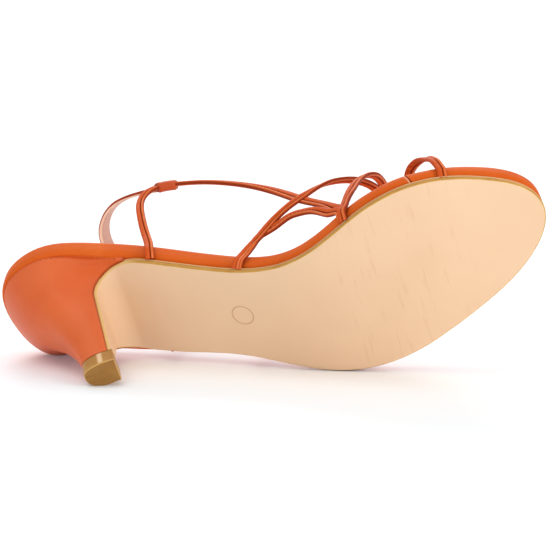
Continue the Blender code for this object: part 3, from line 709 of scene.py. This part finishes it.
# first and last are where a strap is tucked under the rim: along the foot, side, and lean as a slope;
# the route between is along the foot, across and up, as shares of its length, ball width and strap rise
straps = [
    {"name": "ankleStrapInner", "first": (0.3, 1, 0.1), "last": (0.657, 1, 0.2), "stitched": (0.4, 0.88),
     "route": [
        (0.302, 0.29, 0.352), (0.302, 0.3, 0.612), (0.308, 0.295, 0.804), (0.326, 0.283, 0.962),
        (0.35, 0.265, 1.059), (0.381, 0.253, 1.106), (0.423, 0.247, 1.127), (0.477, 0.247, 1.096),
        (0.532, 0.25, 0.99), (0.571, 0.265, 0.823), (0.6, 0.3, 0.63), (0.635, 0.358, 0.383),
        (0.651, 0.414, 0.197)],
     "sizes": [(0.0, 0.95, 1.0), (0.25, 0.86, 0.95), (0.36, 1.1, 1.15), (0.7, 1.1, 1.15), (0.8, 1.0, 1.0),
               (0.9, 1.0, 1.0), (0.97, 0.95, 0.5), (1.0, 0.8, 0.4)]},
    {"name": "ankleStrapOuter", "first": (0.286, -1, -0.05), "last": (0.577, -1, -0.2), "route": [
        (0.284, -0.392, 0.285), (0.283, -0.41, 0.485), (0.292, -0.402, 0.704), (0.32, -0.378, 0.862),
        (0.35, -0.363, 0.941), (0.385, -0.355, 0.982), (0.43, -0.362, 0.985), (0.48, -0.395, 0.903),
        (0.52, -0.45, 0.737), (0.552, -0.515, 0.533), (0.57, -0.568, 0.321)],
     "sizes": [(0.0, 1.0, 1.0), (0.8, 1.0, 1.0), (0.9, 1.0, 0.45), (1.0, 1.0, 0.35)]},
    {"name": "instepStrap", "first": (0.4455, 1, 0.6), "last": (0.581, -1, 0.2), "route": [
        (0.475, 0.225, 0.19), (0.492, 0.236, 0.275), (0.5365, 0.269, 0.489), (0.573, 0.309, 0.583),
        (0.603, 0.308, 0.686), (0.634, 0.283, 0.811), (0.661, 0.254, 0.888), (0.687, 0.229, 0.909),
        (0.711, 0.18, 0.93), (0.732, 0.11, 0.92), (0.736, -0.02, 0.903), (0.72, -0.2, 0.824),
        (0.68, -0.38, 0.604), (0.63, -0.51, 0.365), (0.59, -0.576, 0.199)],
     "sizes": [(0.0, 0.95, 1.0), (1.0, 0.95, 1.0)]},
    {"name": "ballStrap", "first": (0.656, 1, 0.4), "last": (0.594, -1, 0.3), "stitched": (0.12, 0.55),
     "route": [
        (0.667, 0.448, 0.16), (0.682, 0.425, 0.34), (0.702, 0.372, 0.564), (0.7225, 0.307, 0.736),
        (0.738, 0.235, 0.836), (0.746, 0.14, 0.918), (0.753, 0.0, 0.968), (0.748, -0.18, 0.918),
        (0.715, -0.37, 0.73), (0.655, -0.52, 0.424), (0.612, -0.578, 0.197)],
     "sizes": [(0.0, 1.05, 1.15), (0.1, 1.05, 1.1), (0.2, 1.0, 1.0), (0.4, 0.95, 1.0), (0.52, 0.6, 1.0),
               (1.0, 0.7, 1.0)]},
    {"name": "archStrapInner", "first": (0.4497, 1, 0.6), "last": (0.654, 1, 0.15), "stitched": (0.25, 0.8),
     "route": [
        (0.484, 0.23, 0.221), (0.505, 0.232, 0.361), (0.528, 0.247, 0.412), (0.567, 0.3, 0.45),
        (0.586, 0.322, 0.43), (0.604, 0.345, 0.386), (0.621, 0.368, 0.306), (0.637, 0.392, 0.205)],
     "sizes": [(0.0, 0.85, 0.6), (0.15, 0.95, 0.9), (0.3, 1.0, 1.0), (0.85, 1.0, 1.0), (0.94, 0.95, 0.5),
               (1.0, 0.8, 0.4)]},
    {"name": "archStrapOuter", "first": (0.43, -1, 0.55), "last": (0.569, -1, -0.35), "route": [
        (0.44, -0.445, 0.245), (0.462, -0.462, 0.384), (0.495, -0.482, 0.451), (0.528, -0.512, 0.376),
        (0.552, -0.552, 0.233)],
     "sizes": [(0.0, 1.0, 1.0), (0.65, 1.0, 1.0), (0.82, 1.0, 0.45), (1.0, 1.0, 0.35)]},
]


def makeStraps():
    width, thickness = shoe["strapWidth"], shoe["strapThickness"]
    pieces = []
    for row in straps:
        frames = routeFrames(strapPoints(row), fromCore)
        piece = layBand(row["name"], frames, strapSection, width, thickness, row["sizes"])
        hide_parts("upper")
        pieces.append(piece)
        if "stitched" in row:
            stitchBand(row["name"] + "Stitches", frames, "strap", width, thickness, row["stitched"], "upper")
    return pieces


# toe loop
toeLoop = {
    "coreAcross": 0.37, "coreRise": 0.2, "first": (0.8437, 1, -0.05),
    "sizes": [(0.0, 1.0, 1.0), (1.0, 1.0, 1.0)],
    "route": [
        (0.841, 0.53, 0.16), (0.837, 0.505, 0.258), (0.8305, 0.445, 0.41), (0.814, 0.385, 0.531),
        (0.798, 0.33, 0.562), (0.789, 0.27, 0.535), (0.787, 0.225, 0.443), (0.79, 0.2, 0.283),
        (0.792, 0.19, 0.173), (0.793, 0.186, 0.12)],
}


def fromToe(place):
    middle = footbed(place.y) + toeLoop["coreRise"] * shoe["strapRise"]
    outward = Vector((place.x - toeLoop["coreAcross"] * shoe["ballWidth"], 0, max(place.z - middle, 0)))
    return offRim(place, outward) if outward.x > 0 else outward


def makeToeLoop():
    points = rimAnchor(toeLoop["first"]) + [routePoint(*spot) for spot in toeLoop["route"]]
    frames = routeFrames(points, fromToe, hugsRim=False)
    piece = layBand("toeLoopBand", frames, strapSection, shoe["strapWidth"], shoe["strapThickness"],
                    toeLoop["sizes"])
    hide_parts("toe_loop")
    return piece


# slingback: a flat lined band round the back of the ankle
# its route is behind the keepers, across and up, as shares of its reach, ball width and strap rise
sling = {
    "reach": 0.0385, "width": 0.0072, "thickness": 0.0012, "stitched": (0.15, 0.85), "middle": 0.25,
    "liningFaces": (11.9, 21.1), "creamFaces": (11.9, 15.1),
    "leans": [(0.0, 24), (0.25, 44), (0.45, 47), (0.56, 40), (0.68, 24), (1.0, 18)],
    "sizes": [(0.0, 0.45, 0.8), (0.05, 0.5, 1.2), (0.1, 1.0, 1.4), (0.24, 1.0, 1.3), (0.36, 1.0, 0.9),
              (0.88, 1.0, 1.0), (0.95, 0.5, 0.9), (1.0, 0.45, 0.8)],
    "route": [
        (0.02, 0.214, 1.12), (0.141, 0.224, 1.128), (0.33, 0.256, 1.096), (0.498, 0.238, 1.136),
        (0.718, 0.165, 1.203), (0.856, 0.065, 1.225), (0.905, -0.06, 1.24), (0.852, -0.185, 1.211),
        (0.66, -0.265, 1.141), (0.42, -0.312, 1.051), (0.16, -0.324, 0.981), (0.02, -0.318, 0.962)],
}
slingSection = [
    (1.0, 0.1), (0.985, 0.55), (0.94, 0.85), (0.85, 0.98), (0.55, 1.0), (0.2, 1.0), (-0.2, 1.0),
    (-0.55, 1.0), (-0.85, 0.98), (-0.94, 0.85), (-0.985, 0.55), (-1.0, 0.1), (-1.0, -0.35),
    (-0.97, -0.75), (-0.9, -0.95), (-0.6, -1.0), (-0.2, -1.0), (0.2, -1.0), (0.6, -1.0),
    (0.9, -0.95), (0.97, -0.75), (1.0, -0.35),
]
keeperY = shoe["keeperAlong"] * shoe["footLength"]


def fromAnkle(place):
    return Vector((place.x, place.y - keeperY + sling["middle"] * sling["reach"], 0))


def makeSling():
    width, thickness = sling["width"], sling["thickness"]
    points = []
    for behind, across, rise in sling["route"]:
        z = bed(keeperY) + rise * shoe["strapRise"]
        points.append(Vector((across * shoe["ballWidth"], keeperY - behind * sling["reach"], z)))
    frames = routeFrames(points, fromAnkle, hugsRim=False)
    leaning = []
    for i, (place, across, outward) in enumerate(frames):
        lean = math.radians(lookUp(sling["leans"], i / (len(frames) - 1)))
        turned = Matrix.Rotation(lean, 3, outward.cross(across))
        leaning.append((place, turned @ across, turned @ outward))
    piece = layBand("slingbackBand", leaning, slingSection, width, thickness, sling["sizes"])
    for slot, faces in ((1, sling["liningFaces"]), (2, sling["creamFaces"])):
        slotSpans(piece, [(faces[0] / len(slingSection), faces[1] / len(slingSection), slot)])
    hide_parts("slingback_strap")
    stitchBand("slingbackStitches", leaning, "sling", width, thickness, sling["stitched"], "slingback_strap")
    return piece


# keepers: rolled leather tubes that hold the slingback to the ankle straps
keeper = {
    "length": 0.0092, "wall": 0.0008, "lip": 0.0009, "lipStart": 0.35, "underSling": 0.0006,
    "points": 40, "squareness": 0.7,
}


def squared(share):  # turns a circle's cosine or sine into a squarer shape's
    return math.copysign(abs(share) ** keeper["squareness"], share)


def makeKeeper(name, row, node):
    frames = routeFrames(strapPoints(row), fromCore, keeperY, keeper["length"] / 2)
    loops = []
    for i, frameHere in enumerate(frames):
        fromEnd = min(i, len(frames) - 1 - i) / (len(frames) - 1) * keeper["length"]
        swell = keeper["lipStart"] + (1 - keeper["lipStart"]) * roundOff(fromEnd, keeper["lip"])
        loops.append((*frameHere, shoe["gap"] + keeper["wall"] * swell))
    bore = [(*frameHere, shoe["gap"] * 0.5) for frameHere in frames]
    rings = []
    for place, across, outward, extra in loops + bore[::-1] + loops[:1]:
        wide = shoe["strapWidth"] / 2 + extra
        deep = shoe["strapThickness"] / 2 + extra
        ring = []
        for a in np.linspace(0, 2 * math.pi, keeper["points"] + 1)[:-1]:
            c, s = squared(math.cos(a)), squared(math.sin(a))
            under = keeper["underSling"] if s < 0 and extra > shoe["gap"] else 0.0
            ring.append(place + across * wide * c + outward * (deep + under) * s)
        rings.append(ring)
    piece = gridOver(name, rings, capped=False, sharpAngle=70)
    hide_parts(node)
    return piece


# shader tools
def fromScreen(red, green, blue):  # a colour as read on a screen, 0 to 255
    values = []
    for part in (red, green, blue):
        part /= 255
        values.append(part / 12.92 if part <= 0.04045 else ((part + 0.055) / 1.055) ** 2.4)
    return (*values, 1.0)


def feed(tree, socket, value):  # links another node's output to a socket, or sets a plain value on it
    if isinstance(value, bpy.types.NodeSocket):
        tree.links.new(value, socket)
    else:
        socket.default_value = value


def addNode(tree, kind, inputs=None, **settings):
    made = tree.nodes.new(kind)
    for key, value in settings.items():
        setattr(made, key, value)
    for key, value in (inputs or {}).items():
        feed(tree, made.inputs[key], value)
    return made


def addMath(tree, operation, first, second=0.0, third=0.0):
    return addNode(tree, "ShaderNodeMath", {0: first, 1: second, 2: third}, operation=operation).outputs[0]


def times(tree, first, second):
    return addMath(tree, "MULTIPLY", first, second)


def plus(tree, base, value, strength):
    return addMath(tree, "MULTIPLY_ADD", value, strength, base)


def away(tree, value, at):  # how far a value is from a place
    return addMath(tree, "ABSOLUTE", addMath(tree, "SUBTRACT", value, at))


def mixColours(tree, share, first, second):
    inputs = {0: share, 6: first, 7: second}
    return addNode(tree, "ShaderNodeMix", inputs, data_type="RGBA").outputs[2]


def spread(tree, value, low, high):  # 0 at low, 1 at high, smooth between
    inputs = {0: value, 1: low, 2: high}
    return addNode(tree, "ShaderNodeMapRange", inputs, interpolation_type="SMOOTHSTEP").outputs[0]


def lineAt(tree, value, at, width):  # 1 on a line where a value passes a place, 0 a width away
    return spread(tree, away(tree, value, at), width, width * 0.3)


def tint(tree, share, strength, colour, screen):
    return mixColours(tree, times(tree, share, strength), colour, fromScreen(*screen))


def addNoise(tree, place, scale, detail=2.0):
    inputs = {"Vector": place, "Scale": scale, "Detail": detail}
    return addNode(tree, "ShaderNodeTexNoise", inputs).outputs[0]


def newGroup(name, inputs, outputs):
    group = bpy.data.node_groups.new(name, "ShaderNodeTree")
    kinds = {"float": "NodeSocketFloat", "vector": "NodeSocketVector", "colour": "NodeSocketColor"}
    for way, sockets in (("INPUT", inputs), ("OUTPUT", outputs)):
        for label, kind in sockets.items():
            group.interface.new_socket(name=label, in_out=way, socket_type=kinds[kind])
    return group, group.nodes.new("NodeGroupInput").outputs, group.nodes.new("NodeGroupOutput").inputs


# pebbled leather grain: small cells, finer pores and slow swells, as a height
grainLook = {"cellEdge": 0.22, "poreScale": 3.1, "poreHeight": 0.5, "swellScale": 0.16, "swellHeight": 1.2}


def makeGrainGroup():
    tree, given, out = newGroup(
        "leatherGrain", {"Place": "vector", "Scale": "float"}, {"Height": "float", "Cells": "float"})
    place, scale = given["Place"], given["Scale"]
    inputs = {"Vector": place, "Scale": scale}
    cracks = addNode(tree, "ShaderNodeTexVoronoi", inputs, feature="DISTANCE_TO_EDGE")
    cells = spread(tree, cracks.outputs["Distance"], 0.0, grainLook["cellEdge"])
    pores = addNoise(tree, place, times(tree, scale, grainLook["poreScale"]), 3.0)
    swell = addNoise(tree, place, times(tree, scale, grainLook["swellScale"]))
    height = plus(tree, cells, pores, grainLook["poreHeight"])
    feed(tree, out["Height"], plus(tree, height, swell, grainLook["swellHeight"]))
    feed(tree, out["Cells"], cells)
    return tree


# slow drift of a colour between its base, a shade and a light
def makeDriftGroup():
    inputs = {"Place": "vector", "Scale": "float", "Base": "colour", "Shade": "colour", "Light": "colour"}
    tree, given, out = newGroup("toneDrift", inputs, {"Color": "colour"})
    wide = addNoise(tree, given["Place"], given["Scale"], 4.0)
    shaded = mixColours(tree, spread(tree, wide, 0.48, 0.8), given["Base"], given["Shade"])
    feed(tree, out["Color"], mixColours(tree, spread(tree, wide, 0.52, 0.22), shaded, given["Light"]))
    return tree


grainGroup = makeGrainGroup()
driftGroup = makeDriftGroup()

# base, shade and light as read on a screen, the scale of the grain and of the drift, roughness and gloss
looks = {
    "rimLeather": ((220, 98, 30), (206, 82, 22), (230, 112, 44), 1500, 30, 0.5, 0.06),
    "heelLeather": ((224, 106, 54), (214, 92, 40), (232, 116, 66), 1500, 24, 0.44, 0.22),
    "strapLeather": ((212, 88, 34), (194, 70, 20), (222, 102, 48), 2200, 60, 0.5, 0.05),
    "slingLeather": ((176, 72, 40), (156, 56, 28), (190, 84, 52), 2200, 90, 0.42, 0.1),
    "keeperLeather": ((202, 88, 46), (186, 70, 30), (214, 100, 58), 2200, 90, 0.42, 0.15),
    "sockLeather": ((226, 172, 140), (214, 156, 122), (234, 186, 156), 1700, 40, 0.5, 0.25),
    "slingLining": ((220, 178, 162), (206, 160, 144), (230, 194, 180), 1700, 40, 0.5, 0.25),
    "creamEdge": ((250, 218, 192), (242, 204, 176), (252, 228, 206), 1700, 40, 0.5, 0.25),
    "nudeSole": ((234, 197, 160), (228, 189, 151), (239, 204, 168), 1100, 14, 0.5, 0.25),
    "goldEdge": ((194, 144, 70), (178, 128, 56), (206, 158, 86), 900, 120, 0.6, 0.08),
    "paleBevel": ((234, 196, 146), (222, 180, 128), (240, 206, 160), 900, 120, 0.6, 0.08),
    # the gold painted lighter where the rim's shade falls on the upper corner: painted light
    "upperBevelLightened": ((224, 178, 98), (210, 162, 82), (230, 186, 112), 900, 120, 0.6, 0.08),
    "tipRubber": ((176, 124, 52), (160, 108, 42), (188, 138, 66), 1200, 160, 0.34, 0.35),
}


def setShader(material, values):
    shader = material.node_tree.nodes["Principled BSDF"]
    for label, value in values.items():
        feed(material.node_tree, shader.inputs[label], value)


def newMaterial(name, rough, gloss):
    material = bpy.data.materials.new(name)
    material.use_nodes = True
    setShader(material, {"Roughness": rough, "Specular IOR Level": gloss})
    return material, material.node_tree


def finishMaterial(material, colour, height, rough=None, depth=0.00003):
    inputs = {"Height": height, "Distance": depth, "Strength": 1.0}
    bump = addNode(material.node_tree, "ShaderNodeBump", inputs).outputs[0]
    setShader(material, {"Normal": bump, "Base Color": colour})
    if rough is not None:
        setShader(material, {"Roughness": rough})
    return material


def objectPlace(tree):
    return addNode(tree, "ShaderNodeTexCoord").outputs["Object"]


def tonedMaterial(name, kind=None):  # a material with its drifting colour and its grain
    base, shade, light, grainScale, driftScale, rough, gloss = looks[kind or name]
    material, tree = newMaterial(name, rough, gloss)
    place = objectPlace(tree)
    inputs = {"Place": place, "Scale": driftScale}
    inputs.update(Base=fromScreen(*base), Shade=fromScreen(*shade), Light=fromScreen(*light))
    drift = addNode(tree, "ShaderNodeGroup", inputs, node_tree=driftGroup).outputs
    grain = addNode(tree, "ShaderNodeGroup", {"Place": place, "Scale": grainScale}, node_tree=grainGroup)
    return material, tree, drift["Color"], grain.outputs


leatherGrain = {"cracks": 0.22, "crackRough": 0.06, "heightRough": -0.05}


def leatherMaterial(name, kind=None):  # shaded in the cracks of its grain, and smoother on top
    material, tree, colour, grain = tonedMaterial(name, kind)
    shade, rough = looks[kind or name][1], looks[kind or name][5]
    cracks = times(tree, addMath(tree, "SUBTRACT", 1.0, grain["Cells"]), leatherGrain["cracks"])
    colour = mixColours(tree, cracks, colour, fromScreen(*shade))
    rough = plus(tree, rough + leatherGrain["crackRough"], grain["Height"], leatherGrain["heightRough"])
    return material, tree, colour, grain["Height"], rough


def standingParts(tree):  # the standing shoe's x, y and z in millimetres
    place = addNode(tree, "ShaderNodeAttribute", attribute_name="standing").outputs["Vector"]
    inputs = {0: place, 1: (1000.0, 1000.0, 1000.0)}
    millimetres = addNode(tree, "ShaderNodeVectorMath", inputs, operation="MULTIPLY").outputs[0]
    return addNode(tree, "ShaderNodeSeparateXYZ", {0: millimetres}).outputs


def roundUv(tree):  # the UV's share of the way round a piece
    return addNode(tree, "ShaderNodeSeparateXYZ", {0: addNode(tree, "ShaderNodeUVMap").outputs[0]}).outputs[1]


# rim leather: a lapped seam at the ball, dark in its gap and pale on the lapped edge
rimSeam = {"along": 187.6, "lean": 0.35, "width": 0.42, "apart": -0.8, "innerSide": (10.0, 14.0),
           "dark": (112, 34, 12), "pale": (248, 196, 160)}


def rimLeather():
    material, tree, colour, height, rough = leatherMaterial("rimLeather")
    x, y, z = standingParts(tree)
    innerSide = spread(tree, x, *rimSeam["innerSide"])
    along = plus(tree, y, z, rimSeam["lean"])
    width = rimSeam["width"]
    lap = times(tree, lineAt(tree, along, rimSeam["along"], width), innerSide)
    pale = times(tree, lineAt(tree, along, rimSeam["along"] + rimSeam["apart"], width), innerSide)
    colour = tint(tree, lap, 0.9, colour, rimSeam["dark"])
    colour = tint(tree, pale, 0.7, colour, rimSeam["pale"])
    height = plus(tree, height, lap, -4.0)
    height = plus(tree, height, pale, 3.0)
    return finishMaterial(material, colour, height, rough)


# heel leather: painted shade in a thin dark line where the cover meets the flap, and warmer towards it
heelTints = {"middle": 0.495, "flapShade": (120, 44, 16), "near": (222, 92, 22)}


def heelLeather():
    material, tree, colour, height, rough = leatherMaterial("heelLeather")
    fromFlap = addMath(tree, "SUBTRACT", 0.5, away(tree, roundUv(tree), heelTints["middle"]))
    # painted shade along the flap's edge, where the flap stands over the cover
    colour = tint(tree, spread(tree, fromFlap, 0.014, 0.004), 0.85, colour, heelTints["flapShade"])
    colour = tint(tree, spread(tree, fromFlap, 0.11, 0.04), 0.4, colour, heelTints["near"])
    return finishMaterial(material, colour, height, rough)


# tints round a strap's section: painted shade near black in the grooves, painted highlight on its ridges, and
# dark edge paint on the cut edges
strapShadeAndEdgeTints = [
    (0.0, (122, 46, 24)), (0.055, (176, 72, 36)), (0.12, (232, 118, 60)), (0.205, (234, 122, 64)),
    (0.255, (150, 42, 8)), (0.292, (92, 16, 0)), (0.33, (158, 50, 14)), (0.385, (214, 94, 40)),
    (0.5, (208, 84, 32)), (0.57, (190, 76, 36)), (0.64, (206, 90, 42)), (0.75, (208, 88, 38)),
    (0.79, (170, 54, 20)), (0.833, (96, 16, 0)), (0.875, (190, 74, 36)), (0.915, (238, 140, 98)),
    (0.96, (160, 62, 34)), (1.0, (122, 46, 24)),
]
# share of the section's tints, and a painted highlight along the top ridge, broken up by noise
strapShading = {"tints": 0.85, "ridge": 0.17, "width": 0.06, "scale": 260.0, "light": (242, 150, 112)}
weaveLook = {"scale": 2.2, "from": (0.6, 0.66), "dark": (120, 44, 24), "height": 5.0}


def strapLeather(name="strapLeather", woven=False):
    material, tree, colour, height, rough = leatherMaterial(name, "strapLeather")
    around = roundUv(tree)
    ramp = addNode(tree, "ShaderNodeValToRGB", {0: around})
    stops = ramp.color_ramp.elements
    while len(stops) < len(strapShadeAndEdgeTints):
        stops.new(0.5)
    for stop, (share, screen) in zip(stops, strapShadeAndEdgeTints):
        stop.position = share
        stop.color = fromScreen(*screen)
    colour = mixColours(tree, strapShading["tints"], colour, ramp.outputs[0])
    # painted highlight on the top ridge, in patches where the noise is high
    highlightBreak = addNoise(tree, objectPlace(tree), strapShading["scale"])
    onRidge = lineAt(tree, around, strapShading["ridge"], strapShading["width"])
    colour = tint(tree, times(tree, onRidge, spread(tree, highlightBreak, 0.45, 0.7)), 0.5, colour, strapShading["light"])
    if woven:  # the toe loop's inside
        inputs = {"Vector": addNode(tree, "ShaderNodeUVMap").outputs[0], "Scale": weaveLook["scale"]}
        wave = addNode(tree, "ShaderNodeTexWave", inputs, bands_direction="DIAGONAL").outputs[1]
        weave = times(tree, wave, spread(tree, around, *weaveLook["from"]))
        colour = tint(tree, weave, 0.4, colour, weaveLook["dark"])
        height = plus(tree, height, weave, weaveLook["height"])
    return finishMaterial(material, colour, height, rough, 0.00004)


# keeper leather: smooth and rolled, with painted shade at its heel end
keeperShade = {"from": (81.9, 80.6), "dark": (120, 40, 20)}


def keeperLeather():
    material, tree, colour, height, rough = leatherMaterial("keeperLeather")
    behind = spread(tree, standingParts(tree)[1], *keeperShade["from"])
    colour = tint(tree, behind, 0.55, colour, keeperShade["dark"])
    return finishMaterial(material, colour, height, rough)


def slingLeather():
    material, tree, colour, height, rough = leatherMaterial("slingLeather")
    return finishMaterial(material, colour, height, rough)


# the sole's face: a plain stamped ring under the arch and faint creases where the forepart bends
soleMark = {"middle": (-8.63, 101.2), "radius": 4.73, "width": 0.45, "slope": 1.12, "dark": (198, 150, 110)}
soleCrease = {"across": 0.05, "along": 0.42, "heelEnd": (128.0, 150.0), "toeEnd": (214.0, 190.0),
              "dark": (206, 160, 122)}
flapTint = {"from": (62.0, 46.0), "sole": (236, 196, 158), "edgeFrom": (66.0, 58.0), "edge": (236, 196, 132)}


def soleLeather():
    material, tree, colour, grain = tonedMaterial("nudeSole")
    x, y, z = standingParts(tree)
    across = addMath(tree, "SUBTRACT", x, soleMark["middle"][0])
    along = times(tree, addMath(tree, "SUBTRACT", y, soleMark["middle"][1]), soleMark["slope"])
    far = addMath(tree, "SQRT", plus(tree, times(tree, along, along), across, across))
    ring = lineAt(tree, far, soleMark["radius"], soleMark["width"])
    colour = tint(tree, ring, 0.75, colour, soleMark["dark"])
    stretched = {0: times(tree, x, soleCrease["across"]), 1: times(tree, y, soleCrease["along"]), 2: 0.0}
    inputs = {"Vector": addNode(tree, "ShaderNodeCombineXYZ", stretched).outputs[0],
              "Scale": 1.0, "Detail": 3.0, "Roughness": 0.6}
    bends = addNode(tree, "ShaderNodeTexNoise", inputs).outputs[0]
    fore = times(tree, spread(tree, y, *soleCrease["heelEnd"]), spread(tree, y, *soleCrease["toeEnd"]))
    crease = times(tree, spread(tree, bends, 0.56, 0.68), fore)
    colour = tint(tree, crease, 0.16, colour, soleCrease["dark"])
    colour = tint(tree, spread(tree, y, *flapTint["from"]), 0.5, colour, flapTint["sole"])
    height = plus(tree, grain["Height"], ring, -8.0)
    return finishMaterial(material, colour, plus(tree, height, crease, -3.0), depth=0.00001)


# paint on the sole's edge: gold on its side, paler on its two rounded corners and down the flap; the upper
# corner's lighter gold is painted light against the shade under the rim
def edgePaint(name):
    material, tree, colour, grain = tonedMaterial(name)
    onFlap = spread(tree, standingParts(tree)[1], *flapTint["edgeFrom"])
    colour = tint(tree, onFlap, 0.7, colour, flapTint["edge"])
    return finishMaterial(material, colour, grain["Height"], depth=0.00004)


# tip rubber: a glossy moulded side and a fine diagonal hatch on the face that treads, with painted highlights
# on its bevel and down one corner, and painted shade along its top
tipHatch = {"pitch": 6.5, "dark": (112, 70, 28)}
# bevel and corner: painted highlights; top: painted shade where the tip meets the heel cover
tipHighlightsAndShade = {"bevel": (236, 190, 110), "corner": (250, 214, 166), "top": (96, 50, 22)}


def tipRubber():
    material, tree, colour, grain = tonedMaterial("tipRubber")
    x, y, z = standingParts(tree)
    hatch = addMath(tree, "SINE", times(tree, addMath(tree, "ADD", x, y), tipHatch["pitch"]))
    cut = times(tree, spread(tree, hatch, -0.2, 0.6), spread(tree, z, 0.35, 0.05))
    colour = tint(tree, cut, 0.6, colour, tipHatch["dark"])
    # painted highlight along the rounded bevel
    colour = tint(tree, lineAt(tree, z, 0.35, 0.35), 0.6, colour, tipHighlightsAndShade["bevel"])
    # painted highlight streak down the corner of the side
    onSide = times(tree, spread(tree, x, 0.0, 1.0), spread(tree, z, 0.5, 1.2))
    corner = times(tree, lineAt(tree, plus(tree, x, y, -0.9), -30.4, 1.3), onSide)
    colour = tint(tree, corner, 0.75, colour, tipHighlightsAndShade["corner"])
    # painted shade along the top, in the gap under the heel cover
    colour = tint(tree, lineAt(tree, z, 8.0, 0.5), 0.6, colour, tipHighlightsAndShade["top"])
    return finishMaterial(material, colour, plus(tree, grain["Height"], cut, -4.0))


def threadMaterial(name, base, shade):  # plain twisted thread
    material, tree = newMaterial(name, 0.6, 0.2)
    setShader(material, {"Sheen Weight": 0.1})
    twist = addNoise(tree, objectPlace(tree), 2600.0)
    colour = mixColours(tree, spread(tree, twist, 0.35, 0.65), fromScreen(*base), fromScreen(*shade))
    return finishMaterial(material, colour, twist, depth=0.00004)


def paleLining(name):
    material, tree, colour, grain = tonedMaterial(name)
    return finishMaterial(material, colour, grain["Height"])


# making everything
def dress(piece, *materials):
    slots = [face.material_index for face in piece.data.polygons]
    piece.data.materials.clear()
    for material in materials:
        piece.data.materials.append(material)
    for face, slot in zip(piece.data.polygons, slots):
        face.material_index = slot
    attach(piece, "root")
    return piece


dress(makeOutsole(), soleLeather(), edgePaint("goldEdge"), edgePaint("paleBevel"), edgePaint("upperBevelLightened"))
print("outsole made")
dress(makeInsole(), rimLeather())
dress(makeLining(), paleLining("sockLeather"))
print("insole made")
dress(makeHeel(), heelLeather())
dress(heelSeam(), threadMaterial("seamThread", (206, 90, 46), (184, 76, 38)))
dress(makeTip(), tipRubber())
print("heel made")
strapSkin = strapLeather()
for band in makeStraps():
    dress(band, strapSkin)
dress(makeToeLoop(), strapLeather("toeLoopLeather", woven=True))
print("straps made")
dress(makeSling(), slingLeather(), paleLining("slingLining"), paleLining("creamEdge"))
keeperSkin = keeperLeather()
dress(makeKeeper("keeperInner", straps[0], "inner_keeper"), keeperSkin)
dress(makeKeeper("keeperOuter", straps[1], "outer_keeper"), keeperSkin)
strapThread = threadMaterial("strapThread", (236, 146, 108), (216, 116, 78))
liningThread = threadMaterial("liningThread", (236, 206, 190), (188, 140, 124))
for row in threads:
    dress(row, liningThread if "sling" in row.name else strapThread)
print("slingback and stitches made")


# floor, light and camera
studio = {
    "floorSize": 6.0, "floorColour": (254, 254, 254), "skyStrength": 0.67,
    "floorGlow": (0.022, 0.055, 0.08, 1.0),  # evens out the shoe's warm light
}
softBoxes = [
    {"name": "keyBox", "place": (1.0, -1.0, 0.45), "size": 0.7, "power": 7.0},
    {"name": "topBox", "place": (-0.5, -0.15, 1.1), "size": 0.8, "power": 3.0},
    {"name": "backBox", "place": (0.0, 2.4, 1.6), "size": 2.0, "power": 34.0},
]
# the camera's own directions and its place, for the standing shoe
photoCamera = {
    "lens": 184.29, "shiftX": -0.00011, "shiftY": 0.02533,
    "right": (-0.2726707, 0.95024884, -0.15059162), "above": (0.79320769, 0.31061406, 0.5237752),
    "back": (0.54449265, 0.02336772, -0.83844004), "place": (0.6538706766, 0.14606184726, -0.98686640271),
}


def linkNew(name, data):
    holder = bpy.data.objects.new(name, data)
    bpy.context.collection.objects.link(holder)
    return holder


def makeFloor():
    deselectAll()
    bpy.ops.mesh.primitive_plane_add(size=studio["floorSize"], location=(0, 0, 0))
    floor = bpy.context.object
    floor.name = "floor"
    material = newMaterial("paleFloor", 0.9, 0.1)[0]
    setShader(material, {"Base Color": fromScreen(*studio["floorColour"])})
    setShader(material, {"Emission Color": studio["floorGlow"], "Emission Strength": 1.0})
    floor.data.materials.append(material)


def makeLights():
    world = bpy.data.worlds.new("studioWorld")
    world.use_nodes = True
    sky = world.node_tree.nodes["Background"]
    sky.inputs["Color"].default_value = (1, 1, 1, 1)
    sky.inputs["Strength"].default_value = studio["skyStrength"]
    bpy.context.scene.world = world
    for box in softBoxes:
        light = bpy.data.lights.new(box["name"], "AREA")
        light.shape = "DISK"
        light.size = box["size"]
        light.energy = box["power"]
        holder = linkNew(box["name"], light)
        holder.location = box["place"]
        holder.rotation_euler = (-Vector(box["place"])).to_track_quat("-Z", "Y").to_euler()


def makeCamera():
    data = bpy.data.cameras.new("photoCamera")
    data.lens = photoCamera["lens"]
    data.sensor_width = 36.0
    data.shift_x = photoCamera["shiftX"]
    data.shift_y = photoCamera["shiftY"]
    data.clip_end = 10
    holder = linkNew("photoCamera", data)
    seen = Matrix([photoCamera[way] for way in ("right", "above", "back")]).transposed().to_4x4()
    seen.translation = photoCamera["place"]
    holder.matrix_world = lying @ seen
    bpy.context.scene.camera = holder


makeFloor()
makeLights()
makeCamera()
bpy.context.scene.view_settings.view_transform = "Standard"
bpy.context.scene.view_settings.look = "None"
print("stage set")

bpy.context.view_layer.update()
